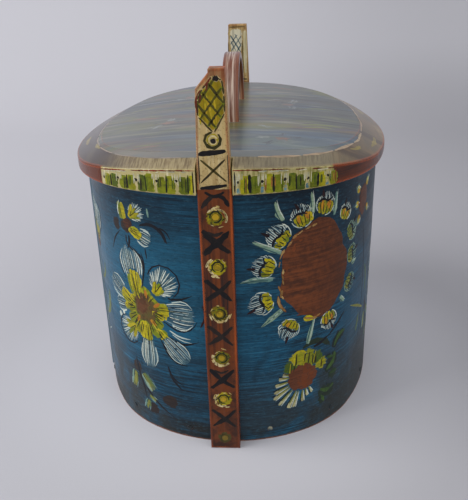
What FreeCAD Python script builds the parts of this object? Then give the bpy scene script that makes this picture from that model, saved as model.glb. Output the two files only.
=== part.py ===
import FreeCAD, Part
import math
import os

import Sketcher

# A lidded bentwood box. An oval side band is lapped and laced with split root at one long side and pegged
# round a bottom board. A flat post stands at each end, pegged through the band, and hooks in over the lid.
# The cambered lid is notched round both posts, has two battens under it and carries a bent strap handle.
# Frame: X across the box, Y along its long axis with the near post at -Y, Z up, origin at the middle of the
# base. Lengths are in millimetres and angles in degrees.

DIMENSIONS = {
    # side band
    "band_length": 270.6,
    "band_width": 230.6,
    "band_height": 199.5,
    "band_wall": 4.0,
    "band_end_angle": 30.0,
    "band_side_angle": 30.0,
    "band_corner_share": 0.8,
    # lap of the band's two ends at the -X side, as angles about that side's arc centre
    "lap_step": 2.2,
    "lap_angle": 11.0,
    "lap_ramp_angle": 5.0,
    # root lacing
    "lace_angle": 6.0,
    "lace_width": 3.6,
    "lace_thickness": 1.4,
    "lace_low_margin": 5.0,
    "lace_top_margin": 16.0,
    "lace_fit": 0.15,
    # bottom board and its pegs
    "bottom_thickness": 16.0,
    "bottom_fit": 0.1,
    "bottom_peg_radius": 1.8,
    "bottom_peg_height": 9.5,
    "bottom_peg_reach": 12.0,
    "bottom_peg_end_angle": 15.0,
    "bottom_peg_side_angle": 18.0,
    # end posts
    "post_stand": 7.8,
    "post_width": 21.6,
    "post_top_width": 17.6,
    "post_shoulder": 3.5,
    "post_head_inset": 2.1,
    "post_neck_inset": 0.3,
    "post_fit": 0.1,
    "post_rounding": 0.8,
    "near_post_shift": -2.8,
    "far_post_shift": -1.6,
    "near_post_rise": 76.5,
    "far_post_rise": 77.1,
    "cut_corner_width": 7.8,
    "cut_corner_height": 9.0,
    "cut_corner_step": 2.6,
    "hook_drop": 0.5,
    # pegs that hold the posts
    "post_peg_radius": 2.5,
    "post_peg_low": 10.0,
    "post_peg_top_margin": 14.1,
    "post_peg_reach": 14.0,
    "peg_fit": 0.05,
    "peg_proud": 0.5,
    # lid
    "lid_side_overhang": 4.7,
    "lid_end_overhang": 9.9,
    "lid_end_angle": 25.0,
    "lid_side_angle": 20.0,
    "lid_corner_share": 0.763,
    "lid_seat_gap": 0.2,
    "lid_rim_thickness": 17.4,
    "lid_bevel_rise": 5.9,
    "lid_bevel_width": 19.0,
    "lid_camber": 12.0,
    "lid_rim_rounding": 1.2,
    "notch_side_gap": 0.6,
    "notch_hook_gap": 0.3,
    # lid battens
    "batten_width": 18.0,
    "batten_depth": 12.0,
    "batten_offset": 72.0,
    "batten_clearance": 1.2,
    "batten_chamfer": 2.0,
    "batten_peg_radius": 2.5,
    "batten_peg_spread": 60.0,
    "batten_peg_reach": 9.0,
    # handle
    "handle_width": 12.5,
    "handle_thickness": 5.0,
    "handle_rise": 44.3,
    "handle_span": 92.0,
    "handle_shift": 1.6,
    "handle_rounding": 1.2,
    "handle_fit": 0.1,
    "handle_end_gap": 0.3,
    "wedge_height": 13.0,
    "wedge_base": 1.6,
    "wedge_tip": 0.4,
    "wedge_fit": 0.05,
}
POST_PEG_COUNT = 6
STITCH_COUNT = 6
OUTLINES = ("band", "lid")

doc = FreeCAD.newDocument("LiddedBox")


# ---------------------------------------------------------------- sheet and derived values


def make_sheet():
    """Put every driving dimension in a spreadsheet, one aliased cell each."""
    sheet = doc.addObject("Spreadsheet::Sheet", "Dims")
    for row, (alias, value) in enumerate(DIMENSIONS.items(), start=1):
        sheet.set(f"A{row}", alias)
        sheet.set(f"B{row}", str(value))
        sheet.setAlias(f"B{row}", alias)
    doc.recompute()
    return sheet


def make_derived():
    """Work out shared sizes once: outline radii, levels and the places that several pieces meet at."""
    derived = doc.addObject("App::VarSet", "Fit")

    def derive(name, formula):
        derived.addProperty("App::PropertyFloat", name, "Derived")
        derived.setExpression(name, formula)

    derive("band_half_width", "Dims.band_width / 2")
    derive("band_half_length", "Dims.band_length / 2")
    derive("lid_half_width", "band_half_width + Dims.lid_side_overhang")
    derive("lid_half_length", "band_half_length + Dims.lid_end_overhang")
    for name in OUTLINES:
        derive_outline(derive, name)
    derive("lid_bottom", "Dims.band_height + Dims.lid_seat_gap")
    derive("lid_top", "lid_bottom + Dims.lid_rim_thickness + Dims.lid_bevel_rise")
    derive("crown_radius", "(lid_half_width ^ 2 + Dims.lid_camber ^ 2) / (2 * Dims.lid_camber)")
    derive("batten_bottom", "lid_bottom - Dims.batten_depth")
    derive("post_face", "band_half_length + Dims.post_stand")
    derive("head_face", "band_half_length - Dims.post_head_inset")
    derive("neck_face", "band_half_length - Dims.post_neck_inset")
    derive("hook_level", "lid_top - Dims.hook_drop")
    derive("notch_face", "head_face - Dims.notch_hook_gap")
    derive("lap_centre", "band_side_radius - band_half_width")
    derive("lap_radius", "band_side_radius + Dims.lap_step")
    derive("lace_low", "Dims.bottom_thickness + Dims.lace_low_margin")
    lace_rows = 2 * STITCH_COUNT
    derive("lace_pitch", f"(Dims.band_height - Dims.lace_top_margin - lace_low) / {lace_rows}")
    derive("arch_radius", "Dims.handle_span / 2")
    derive("arch_centre", "lid_top + Dims.handle_rise - arch_radius")
    derive("leg_middle", "(Dims.handle_span - Dims.handle_thickness) / 2")
    derive("handle_end", "lid_bottom + Dims.handle_end_gap")
    doc.recompute()
    return derived


def derive_outline(derive, name):
    """Radii of an oval made of eight tangent arcs: two ends, two sides and four corners between them.

    The end arc spans end_angle either side of Y and the side arc spans side_angle either side of X. That
    and the corner radius leave two linear equations for the two other radii.
    """
    corner = f"{name}_corner_radius"
    end_sine = f"sin(Dims.{name}_end_angle)"
    end_versine = f"(1 - cos(Dims.{name}_end_angle))"
    side_sine = f"sin(Dims.{name}_side_angle)"
    side_versine = f"(1 - cos(Dims.{name}_side_angle))"
    across = f"({name}_half_width - {corner})"
    along = f"({name}_half_length - {corner})"
    divisor = f"({end_sine} * {side_sine} - {end_versine} * {side_versine})"
    derive(corner, f"Dims.{name}_corner_share * min({name}_half_width; {name}_half_length)")
    derive(
        f"{name}_end_radius",
        f"{corner} + ({across} * {side_sine} - {along} * {side_versine}) / {divisor}",
    )
    derive(
        f"{name}_side_radius",
        f"{corner} + ({along} * {end_sine} - {across} * {end_versine}) / {divisor}",
    )


# ---------------------------------------------------------------- sketches


def new_body(name):
    return doc.addObject("PartDesign::Body", name)


def new_sketch(body, name, plane, offset="0"):
    """Start a sketch on one of the body's own origin planes, moved along that plane's normal."""
    sketch = body.newObject("Sketcher::SketchObject", name)
    planes = {feature.Role: feature for feature in body.Origin.OriginFeatures}
    sketch.AttachmentSupport = [(planes[plane], "")]
    sketch.MapMode = "FlatFace"
    sketch.setExpression("AttachmentOffset.Base.z", offset)
    return sketch


def constrain(sketch, formula, kind, *where):
    """Add a driving dimension bound to a formula."""
    value = float(sketch.evalExpression(formula))
    index = sketch.addConstraint(Sketcher.Constraint(kind, *where, value))
    sketch.setExpression(f"Constraints[{index}]", formula)


def pin(sketch, element, point, x, y):
    """Hold one point of an element at (x, y), both formulas."""
    constrain(sketch, x, "DistanceX", -1, 1, element, point)
    constrain(sketch, y, "DistanceY", -1, 1, element, point)


def add_polygon(sketch, corners):
    """Draw a closed outline of straight lines through corners given as pairs of formulas."""
    points = []
    for x, y in corners:
        points.append(FreeCAD.Vector(sketch.evalExpression(x), sketch.evalExpression(y), 0))
    first = sketch.GeometryCount
    count = len(corners)
    for index, (x, y) in enumerate(corners):
        following = points[(index + 1) % count]
        sketch.addGeometry(Part.LineSegment(points[index], following), False)
        pin(sketch, first + index, 1, x, y)
    for index in range(count):
        after = first + (index + 1) % count
        sketch.addConstraint(Sketcher.Constraint("Coincident", first + index, 2, after, 1))


def add_rectangle(sketch, x_low, y_low, x_high, y_high):
    add_polygon(sketch, [(x_low, y_low), (x_high, y_low), (x_high, y_high), (x_low, y_high)])


def add_arc(sketch, x, y, radius, start, stop):
    """Draw an arc about (x, y) from one angle in degrees to another, counter-clockwise."""
    circle = Part.Circle(FreeCAD.Vector(x, y, 0), FreeCAD.Vector(0, 0, 1), radius)
    return sketch.addGeometry(Part.ArcOfCircle(circle, math.radians(start), math.radians(stop)), False)


def join(sketch, *pairs):
    """Make points coincide, each pair given as element, point, element, point."""
    for pair in pairs:
        sketch.addConstraint(Sketcher.Constraint("Coincident", *pair))


def add_oval(sketch, outline, inset="0"):
    """Draw the eight-arc oval of an outline, moved inwards by inset."""

    def size(what):
        return f"Fit.{outline}_{what} - ({inset})"

    def number(formula):
        return float(sketch.evalExpression(formula))

    side_radius = number(size("side_radius"))
    corner_radius = number(size("corner_radius"))
    end_radius = number(size("end_radius"))
    side_centre = f"Fit.{outline}_side_radius - Fit.{outline}_half_width"
    end_centre = f"Fit.{outline}_end_radius - Fit.{outline}_half_length"
    side_angle = number(f"Dims.{outline}_side_angle")
    end_angle = number(f"Dims.{outline}_end_angle")
    corner_reach = number(f"Fit.{outline}_side_radius - Fit.{outline}_corner_radius")
    corner_x = corner_reach * number(f"cos(Dims.{outline}_side_angle)") - number(side_centre)
    corner_y = corner_reach * number(f"sin(Dims.{outline}_side_angle)")
    side_x = -number(side_centre)
    end_y = -number(end_centre)

    # centre, radius, first angle and last angle of each arc, counter-clockwise from the +X side
    arcs = [
        (side_x, 0, side_radius, -side_angle, side_angle),
        (corner_x, corner_y, corner_radius, side_angle, 90 - end_angle),
        (0, end_y, end_radius, 90 - end_angle, 90 + end_angle),
        (-corner_x, corner_y, corner_radius, 90 + end_angle, 180 - side_angle),
        (-side_x, 0, side_radius, 180 - side_angle, 180 + side_angle),
        (-corner_x, -corner_y, corner_radius, 180 + side_angle, 270 - end_angle),
        (0, -end_y, end_radius, 270 - end_angle, 270 + end_angle),
        (corner_x, -corner_y, corner_radius, 270 + end_angle, 360 - side_angle),
    ]
    first = sketch.GeometryCount
    for arc in arcs:
        add_arc(sketch, *arc)
    side, corner, end, _, far_side, _, far_end, _ = range(first, first + 8)
    for index in range(8):
        after = first + (index + 1) % 8
        sketch.addConstraint(Sketcher.Constraint("Tangent", first + index, 2, after, 1))
    constrain(sketch, size("side_radius"), "Radius", side)
    constrain(sketch, size("corner_radius"), "Radius", corner)
    constrain(sketch, size("end_radius"), "Radius", end)
    for corner_arc in (corner + 2, corner + 4, corner + 6):
        sketch.addConstraint(Sketcher.Constraint("Equal", corner, corner_arc))
    sketch.addConstraint(Sketcher.Constraint("Equal", side, far_side))
    sketch.addConstraint(Sketcher.Constraint("Equal", end, far_end))
    sketch.addConstraint(Sketcher.Constraint("PointOnObject", side, 3, -1))
    constrain(sketch, side_centre, "DistanceX", side, 3, -1, 1)
    sketch.addConstraint(Sketcher.Constraint("Symmetric", side, 3, far_side, 3, -1, 1))
    sketch.addConstraint(Sketcher.Constraint("PointOnObject", end, 3, -2))
    constrain(sketch, end_centre, "DistanceY", end, 3, -1, 1)
    sketch.addConstraint(Sketcher.Constraint("Symmetric", end, 3, far_end, 3, -1, 1))


# ---------------------------------------------------------------- features


def add_feature(body, kind, name, sketch, length, symmetric=False):
    feature = body.newObject(f"PartDesign::{kind}", name)
    feature.Profile = sketch
    feature.SideType = "Symmetric" if symmetric else "One side"
    feature.setExpression("Length", length)
    doc.recompute()
    return feature


def add_pad(body, name, sketch, length, symmetric=False):
    return add_feature(body, "Pad", name, sketch, length, symmetric)


def add_pocket(body, name, sketch, length, symmetric=False):
    """Cut a sketch out of the body against its normal, and make sure that it removed something."""
    before = body.Shape.Volume
    pocket = add_feature(body, "Pocket", name, sketch, length, symmetric)
    if body.Shape.Volume >= before:
        raise RuntimeError(f"{name} cuts nothing")
    return pocket


def edges_where(shape, test):
    """Names of the edges whose middle point passes a test."""
    names = []
    for index, edge in enumerate(shape.Edges, start=1):
        middle = edge.valueAt((edge.FirstParameter + edge.LastParameter) / 2)
        if test(edge, middle):
            names.append(f"Edge{index}")
    return names


def dress(body, kind, name, test, **sizes):
    """Fillet or chamfer the edges of the body that pass a test."""
    base = body.Tip
    feature = body.newObject(f"PartDesign::{kind}", name)
    feature.Base = (base, edges_where(base.Shape, test))
    if "Size2" in sizes:
        feature.ChamferType = "Two distances"
    for path, formula in sizes.items():
        feature.setExpression(path, formula)
    doc.recompute()
    return feature


def group(name, members):
    compound = doc.addObject("Part::Compound", name)
    compound.Links = members
    return compound


def cut(name, base, tool):
    """Cut a tool out of a piece; the result is the finished piece."""
    result = doc.addObject("Part::Cut", name)
    result.Base = base
    result.Tool = tool
    return result


def add_cylinder(name, radius, length, place):
    cylinder = doc.addObject("Part::Cylinder", name)
    cylinder.setExpression("Radius", radius)
    cylinder.setExpression("Height", length)
    cylinder.setExpression("Placement", place)
    return cylinder


def lying(x, y, z, heading):
    """Placement that lays a cylinder flat, its base at (x, y, z), pointing along a heading from +X."""
    turn = f"rotation(vector(-sin({heading}); cos({heading}); 0); 90)"
    return f"placement(vector({x}; {y}; {z}); {turn})"


def standing(x, y, z):
    return f"placement(vector({x}; {y}; {z}); rotation(vector(0; 0; 1); 0))"


def peg_and_hole(name, radius, length, place):
    """A peg and the slightly wider cylinder that cuts its hole."""
    peg = add_cylinder(name, radius, length, place)
    hole = add_cylinder(f"{name}_hole", f"{radius} + Dims.peg_fit", length, place)
    return peg, hole


# ---------------------------------------------------------------- pegs


def make_bottom_pegs():
    """Pegs driven level through the band into the edge of the bottom board, clear of both posts."""
    proud = "Dims.peg_proud"
    length = f"{proud} + Dims.band_wall + Dims.bottom_peg_reach"
    corner_x = "(Fit.band_end_radius - Fit.band_corner_radius) * sin(Dims.band_end_angle)"
    corner_y = "(Fit.band_side_radius - Fit.band_corner_radius) * sin(Dims.band_side_angle)"
    end_y = "(Fit.band_half_length - Fit.band_end_radius)"
    side_x = "(Fit.band_half_width - Fit.band_side_radius)"
    spots = []
    for along in (1, -1):
        for across in (1, -1):
            end_heading = f"{along} * (90 - {across} * Dims.bottom_peg_end_angle)"
            side_heading = f"{90 - 90 * across} + {along * across} * Dims.bottom_peg_side_angle"
            corner_heading = str(along * (90 - 45 * across))
            corner_at = (f"{across} * {corner_x}", f"{along} * {corner_y}")
            spots.append(("0", f"{along} * {end_y}", "Fit.band_end_radius", end_heading))
            spots.append((*corner_at, "Fit.band_corner_radius", corner_heading))
            spots.append((f"{across} * {side_x}", "0", "Fit.band_side_radius", side_heading))
    spots.append((side_x, "0", "Fit.band_side_radius", "0"))
    spots.append((f"-{side_x}", "0", "Fit.lap_radius", "180"))
    pegs = []
    holes = []
    for index, (x, y, radius, heading) in enumerate(spots, start=1):
        head_x = f"{x} + ({radius} + {proud}) * cos({heading})"
        head_y = f"{y} + ({radius} + {proud}) * sin({heading})"
        place = lying(head_x, head_y, "Dims.bottom_peg_height", f"({heading} + 180)")
        peg, hole = peg_and_hole(f"bottom_peg_{index}", "Dims.bottom_peg_radius", length, place)
        pegs.append(peg)
        holes.append(hole)
    return group("bottom_pegs", pegs), group("bottom_peg_holes", holes)


def make_post_pegs(name, shift, direction):
    """Pegs through a post and the band; the lowest one runs on into the bottom board."""
    rise = f"(Dims.band_height - Dims.post_peg_low - Dims.post_peg_top_margin) / {POST_PEG_COUNT - 1}"
    depth = "Dims.peg_proud + Dims.post_stand + Dims.band_wall"
    pegs = []
    holes = []
    for index in range(POST_PEG_COUNT):
        height = f"Dims.post_peg_low + {index} * {rise}"
        length = depth if index else f"{depth} + Dims.post_peg_reach"
        place = lying(shift, f"{direction} * (Fit.post_face + Dims.peg_proud)", height, str(-90 * direction))
        peg, hole = peg_and_hole(f"{name}_peg_{index + 1}", "Dims.post_peg_radius", length, place)
        pegs.append(peg)
        holes.append(hole)
    return group(f"{name}_pegs", pegs), group(f"{name}_peg_holes", holes)


def make_batten_pegs():
    """Pegs driven up through each batten into the lid board."""
    length = "Dims.batten_depth + Dims.batten_peg_reach"
    pegs = []
    holes = []
    for along in (-1, 1):
        for across in (-1, 0, 1):
            place = standing(
                f"{across} * Dims.batten_peg_spread", f"{along} * Dims.batten_offset", "Fit.batten_bottom"
            )
            name = f"batten_peg_{len(pegs) + 1}"
            peg, hole = peg_and_hole(name, "Dims.batten_peg_radius", length, place)
            pegs.append(peg)
            holes.append(hole)
    return group("batten_pegs", pegs), group("batten_peg_holes", holes)


# ---------------------------------------------------------------- side band and lacing


def make_lacing(name, side):
    """One row of running stitches through the lap, and the slots that it passes through.

    It is drawn on the XZ plane at the middle of the lap and then turned about the side arc's centre.
    """
    outside = "Fit.lap_centre - Fit.lap_radius - Dims.lace_fit"
    outside_skin = f"{outside} - Dims.lace_thickness"
    inside = "Fit.lap_centre - Fit.band_side_radius + Dims.band_wall + Dims.lace_fit"
    inside_skin = f"{inside} + Dims.lace_thickness"
    half = "Dims.lace_thickness / 2"
    low = "Fit.lace_low"
    high = f"{low} + Fit.lace_pitch"
    following = f"{low} + 2 * Fit.lace_pitch"
    turn = f"{-side} * Dims.lace_angle"
    place = (
        f"placement(vector(Fit.lap_centre * (1 - cos({turn})); -Fit.lap_centre * sin({turn}); 0); "
        f"rotation(vector(0; 0; 1); {turn}))"
    )

    body = new_body(name)
    sketch = new_sketch(body, f"{name}_profile", "XZ_Plane")
    add_polygon(
        sketch,
        [
            (inside_skin, f"{low} - {half}"),
            (outside_skin, f"{low} - {half}"),
            (outside_skin, f"{high} + {half}"),
            (inside, f"{high} + {half}"),
            (inside, f"{following} - {half}"),
            (inside_skin, f"{following} - {half}"),
            (inside_skin, f"{high} - {half}"),
            (outside, f"{high} - {half}"),
            (outside, f"{low} + {half}"),
            (inside_skin, f"{low} + {half}"),
        ],
    )
    stitch = add_pad(body, f"{name}_stitch", sketch, "Dims.lace_width", symmetric=True)
    row = body.newObject("PartDesign::LinearPattern", f"{name}_row")
    row.Originals = [stitch]
    row.Direction = ([f for f in body.Origin.OriginFeatures if f.Role == "Z_Axis"][0], [""])
    row.Occurrences = STITCH_COUNT
    row.setExpression("Length", f"2 * Fit.lace_pitch * {STITCH_COUNT - 1}")
    body.Tip = row
    body.setExpression("Placement", place)

    slots = []
    for index in range(2 * STITCH_COUNT):
        slot = doc.addObject("Part::Box", f"{name}_slot_{index + 1}")
        slot.setExpression("Length", f"({inside_skin}) - ({outside_skin})")
        slot.setExpression("Width", "Dims.lace_width + 2 * Dims.lace_fit")
        slot.setExpression("Height", "Dims.lace_thickness + 2 * Dims.lace_fit")
        bottom = f"{low} + {index} * Fit.lace_pitch - {half} - Dims.lace_fit"
        slot.setExpression("Placement.Base.x", outside_skin)
        slot.setExpression("Placement.Base.y", "-Dims.lace_width / 2 - Dims.lace_fit")
        slot.setExpression("Placement.Base.z", bottom)
        slots.append(slot)
    holes = group(f"{name}_slots", slots)
    holes.setExpression("Placement", place)
    return body, holes


def make_side_band(holes):
    """The bent band: an oval ring with its outer end lapped over the inner end and shaved thin."""
    body = new_body("band_blank")
    ring = new_sketch(body, "band_ring", "XY_Plane")
    add_oval(ring, "band")
    add_oval(ring, "band", "Dims.band_wall")
    add_pad(body, "band_wall", ring, "Dims.band_height")

    lap = new_sketch(body, "band_lap", "XY_Plane")
    add_lap(lap)
    add_pad(body, "band_lap_pad", lap, "Dims.band_height")
    return cut("side_band", body, holes)


def add_lap(sketch):
    """Draw the lap: a raised arc with a square outer end at -Y and a shaved ramp at +Y."""
    middle = "(Fit.band_side_radius - Dims.band_wall / 2)"
    foot = "(Dims.lap_angle + Dims.lap_ramp_angle)"
    centre = float(sketch.evalExpression("Fit.lap_centre"))
    raised = float(sketch.evalExpression("Fit.lap_radius"))
    buried = float(sketch.evalExpression(middle))
    end_angle = float(sketch.evalExpression("Dims.lap_angle"))
    foot_angle = float(sketch.evalExpression(foot))

    def place(radius, angle):
        turn = math.radians(angle)
        return FreeCAD.Vector(centre - radius * math.cos(turn), radius * math.sin(turn), 0)

    outer = add_arc(sketch, centre, 0, raised, 180 - end_angle, 180 + end_angle)
    inner = add_arc(sketch, centre, 0, buried, 180 - foot_angle, 180 + end_angle)
    ramp = Part.LineSegment(place(raised, end_angle), place(buried, foot_angle))
    step = Part.LineSegment(place(buried, -end_angle), place(raised, -end_angle))
    ramp = sketch.addGeometry(ramp, False)
    step = sketch.addGeometry(step, False)
    join(sketch, (ramp, 1, outer, 1), (ramp, 2, inner, 1), (step, 1, inner, 2), (step, 2, outer, 2))
    for arc, radius in ((outer, "Fit.lap_radius"), (inner, middle)):
        sketch.addConstraint(Sketcher.Constraint("PointOnObject", arc, 3, -1))
        constrain(sketch, "Fit.lap_centre", "DistanceX", -1, 1, arc, 3)
        constrain(sketch, radius, "Radius", arc)
    constrain(sketch, "Fit.lap_radius * sin(Dims.lap_angle)", "DistanceY", -1, 1, ramp, 1)
    constrain(sketch, f"{middle} * sin{foot}", "DistanceY", -1, 1, ramp, 2)
    constrain(sketch, f"-{middle} * sin(Dims.lap_angle)", "DistanceY", -1, 1, step, 1)
    constrain(sketch, "-Fit.lap_radius * sin(Dims.lap_angle)", "DistanceY", -1, 1, step, 2)


def make_bottom_board(holes):
    body = new_body("bottom_blank")
    outline = new_sketch(body, "bottom_outline", "XY_Plane")
    add_oval(outline, "band", "Dims.band_wall + Dims.bottom_fit")
    add_pad(body, "bottom_pad", outline, "Dims.bottom_thickness")
    return cut("bottom_board", body, holes)


# ---------------------------------------------------------------- posts


def make_post(name, side, cut_corner, holes):
    """A board against one end of the band, hollowed to fit it, with a head that hooks in over the lid.

    side is -1 at the near end and 1 at the far end.
    """
    shift = f"Dims.{name}_shift"
    top = f"(Dims.band_height + Dims.{name}_rise)"
    shoulder = "Dims.band_height + Dims.post_shoulder"
    half = "Dims.post_width / 2"
    half_top = "Dims.post_top_width / 2"
    front = [
        (f"{shift} - {half}", "0"),
        (f"{shift} + {half}", "0"),
        (f"{shift} + {half}", shoulder),
        (f"{shift} + {half_top}", top),
    ]
    if cut_corner:
        cut_x = f"{shift} - {half_top} + Dims.cut_corner_width"
        cut_z = f"{top} - Dims.cut_corner_step"
        front.append((cut_x, top))
        front.append((cut_x, cut_z))
        front.append((f"{shift} - {half_top}", f"{cut_z} - Dims.cut_corner_height"))
    else:
        front.append((f"{shift} - {half_top}", top))
    front.append((f"{shift} - {half}", shoulder))

    body = new_body(f"{name}_blank")
    front_face = "Fit.post_face" if side > 0 else "-Fit.head_face"
    outline = new_sketch(body, f"{name}_outline", "XZ_Plane", f"-({front_face})")
    add_polygon(outline, front)
    add_pad(body, f"{name}_pad", outline, "Fit.post_face - Fit.head_face")

    neck = new_sketch(body, f"{name}_neck", "YZ_Plane")
    add_rectangle(neck, f"{side} * Fit.neck_face", "-1", f"{side} * (Fit.head_face - 1)", "Fit.hook_level")
    add_pocket(body, f"{name}_neck_cut", neck, "4 * Dims.post_width", symmetric=True)

    hollow = new_sketch(body, f"{name}_hollow", "XY_Plane", "Dims.band_height")
    add_oval(hollow, "band", "-Dims.post_fit")
    add_pocket(body, f"{name}_hollow_cut", hollow, "Dims.band_height + 1")

    face = side * float(outline.evalExpression("Fit.post_face"))
    top_edge = body.Shape.BoundBox.ZMax - 0.01

    def on_outside(edge, middle):
        return abs(middle.y - face) < 0.01 or middle.z > top_edge

    dress(body, "Fillet", f"{name}_rounded_edges", on_outside, Radius="Dims.post_rounding")
    return cut(name, body, holes)


# ---------------------------------------------------------------- lid


def make_lid_board(holes):
    """The lid: a cambered board, bevelled all round, notched round both posts and mortised for the handle."""
    body = new_body("lid_blank")
    outline = new_sketch(body, "lid_outline", "XY_Plane", "Fit.lid_bottom")
    add_oval(outline, "lid")
    add_pad(body, "lid_pad", outline, "Fit.lid_top - Fit.lid_bottom + 1")

    crown = new_sketch(body, "lid_crown", "XZ_Plane")
    add_crown(crown)
    add_pocket(body, "lid_camber_cut", crown, "4 * Fit.lid_half_length", symmetric=True)

    lid_bottom = body.Shape.BoundBox.ZMin
    half_width = body.Shape.BoundBox.XMax

    def is_upright(edge):
        return abs(edge.tangentAt(edge.FirstParameter).z) > 0.99

    def on_top(edge, middle):
        return middle.z > lid_bottom + 0.1 and not is_upright(edge)

    def on_rim(edge, middle):
        crown_drop = body.Shape.BoundBox.ZMax - middle.z
        camber_drop = DIMENSIONS["lid_camber"] * (middle.x / half_width) ** 2
        return not is_upright(edge) and crown_drop - camber_drop > 1

    dress(
        body,
        "Chamfer",
        "lid_bevel",
        on_top,
        Size="Dims.lid_bevel_rise",
        Size2="Dims.lid_bevel_width",
    )
    dress(body, "Fillet", "lid_rounded_rim", on_rim, Radius="Dims.lid_rim_rounding")

    notches = new_sketch(body, "lid_notches", "XY_Plane", "Fit.lid_bottom")
    half = "(Dims.post_width / 2 + Dims.notch_side_gap)"
    for name, side in (("near_post", -1), ("far_post", 1)):
        shift = f"Dims.{name}_shift"
        face = f"{side} * Fit.notch_face"
        outside = f"{side} * (Fit.lid_half_length + 1)"
        add_rectangle(notches, f"{shift} - {half}", face, f"{shift} + {half}", outside)
    for side in (-1, 1):
        wide = "(Dims.handle_width / 2 + Dims.handle_fit)"
        deep = "(Dims.handle_thickness / 2 + Dims.handle_fit)"
        add_rectangle(
            notches,
            f"Dims.handle_shift - {wide}",
            f"{side} * Fit.leg_middle - {deep}",
            f"Dims.handle_shift + {wide}",
            f"{side} * Fit.leg_middle + {deep}",
        )
    add_pocket(body, "lid_openings", notches, "4 * (Fit.lid_top - Fit.lid_bottom)", symmetric=True)
    return cut("lid_board", body, holes)


def add_crown(sketch):
    """Draw what lies above the cambered top: an arc, closed by straight lines past the board."""
    reach = "(Fit.lid_half_width + 5)"
    above = "Fit.lid_top + 10"
    x = float(sketch.evalExpression(reach))
    high = float(sketch.evalExpression(above))
    radius = float(sketch.evalExpression("Fit.crown_radius"))
    centre = float(sketch.evalExpression("Fit.lid_top")) - radius
    spread = math.degrees(math.asin(x / radius))
    low = centre + radius * math.cos(math.radians(spread))
    vector = FreeCAD.Vector
    arc = add_arc(sketch, 0, centre, radius, 90 - spread, 90 + spread)
    right = sketch.addGeometry(Part.LineSegment(vector(x, low, 0), vector(x, high, 0)), False)
    over = sketch.addGeometry(Part.LineSegment(vector(x, high, 0), vector(-x, high, 0)), False)
    left = sketch.addGeometry(Part.LineSegment(vector(-x, high, 0), vector(-x, low, 0)), False)
    join(sketch, (arc, 1, right, 1), (right, 2, over, 1), (over, 2, left, 1), (left, 2, arc, 2))
    pin(sketch, right, 2, reach, above)
    pin(sketch, left, 1, f"-{reach}", above)
    sketch.addConstraint(Sketcher.Constraint("Vertical", right))
    sketch.addConstraint(Sketcher.Constraint("Vertical", left))
    sketch.addConstraint(Sketcher.Constraint("PointOnObject", arc, 3, -2))
    constrain(sketch, "Fit.crown_radius", "Radius", arc)
    constrain(sketch, "Fit.lid_top - Fit.crown_radius", "DistanceY", -1, 1, arc, 3)


def make_batten(name, side, holes):
    """A bar under the lid; its ends follow the inside of the band and keep the lid in place."""
    body = new_body(f"{name}_blank")
    outline = new_sketch(body, f"{name}_outline", "XY_Plane", "Fit.batten_bottom")
    add_oval(outline, "band", "Dims.band_wall + Dims.batten_clearance")
    add_pad(body, f"{name}_pad", outline, "Dims.batten_depth")

    waste = new_sketch(body, f"{name}_waste", "XY_Plane", "Fit.lid_bottom")
    reach = "(Fit.band_half_length + 5)"
    near_edge = f"{side} * Dims.batten_offset - Dims.batten_width / 2"
    far_edge = f"{side} * Dims.batten_offset + Dims.batten_width / 2"
    add_rectangle(waste, f"-{reach}", f"-{reach}", reach, near_edge)
    add_rectangle(waste, f"-{reach}", far_edge, reach, reach)
    add_pocket(body, f"{name}_trim", waste, "Dims.batten_depth + 1")
    bottom = body.Shape.BoundBox.ZMin + 0.01
    dress(body, "Chamfer", f"{name}_chamfer", lambda edge, middle: middle.z < bottom, Size="Dims.batten_chamfer")
    return cut(name, body, holes)


# ---------------------------------------------------------------- handle


def add_arch(sketch):
    """Draw the strap from the side: a half ring on two straight legs."""
    centre = float(sketch.evalExpression("Fit.arch_centre"))
    foot = float(sketch.evalExpression("Fit.handle_end"))
    legs = {}
    for radius_formula in ("Fit.arch_radius", "Fit.arch_radius - Dims.handle_thickness"):
        radius = float(sketch.evalExpression(radius_formula))
        arc = add_arc(sketch, 0, centre, radius, 0, 180)
        sketch.addConstraint(Sketcher.Constraint("PointOnObject", arc, 3, -2))
        constrain(sketch, "Fit.arch_centre", "DistanceY", -1, 1, arc, 3)
        constrain(sketch, radius_formula, "Radius", arc)
        for point, side in ((1, 1), (2, -1)):
            top = FreeCAD.Vector(side * radius, centre, 0)
            bottom = FreeCAD.Vector(side * radius, foot, 0)
            leg = sketch.addGeometry(Part.LineSegment(top, bottom), False)
            sketch.addConstraint(Sketcher.Constraint("Tangent", arc, point, leg, 1))
            sketch.addConstraint(Sketcher.Constraint("Vertical", leg))
            constrain(sketch, "Fit.handle_end", "DistanceY", -1, 1, leg, 2)
            legs.setdefault(side, []).append((leg, bottom))
    for (outer, outer_foot), (inner, inner_foot) in legs.values():
        end = sketch.addGeometry(Part.LineSegment(outer_foot, inner_foot), False)
        join(sketch, (end, 1, outer, 2), (end, 2, inner, 2))


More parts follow.
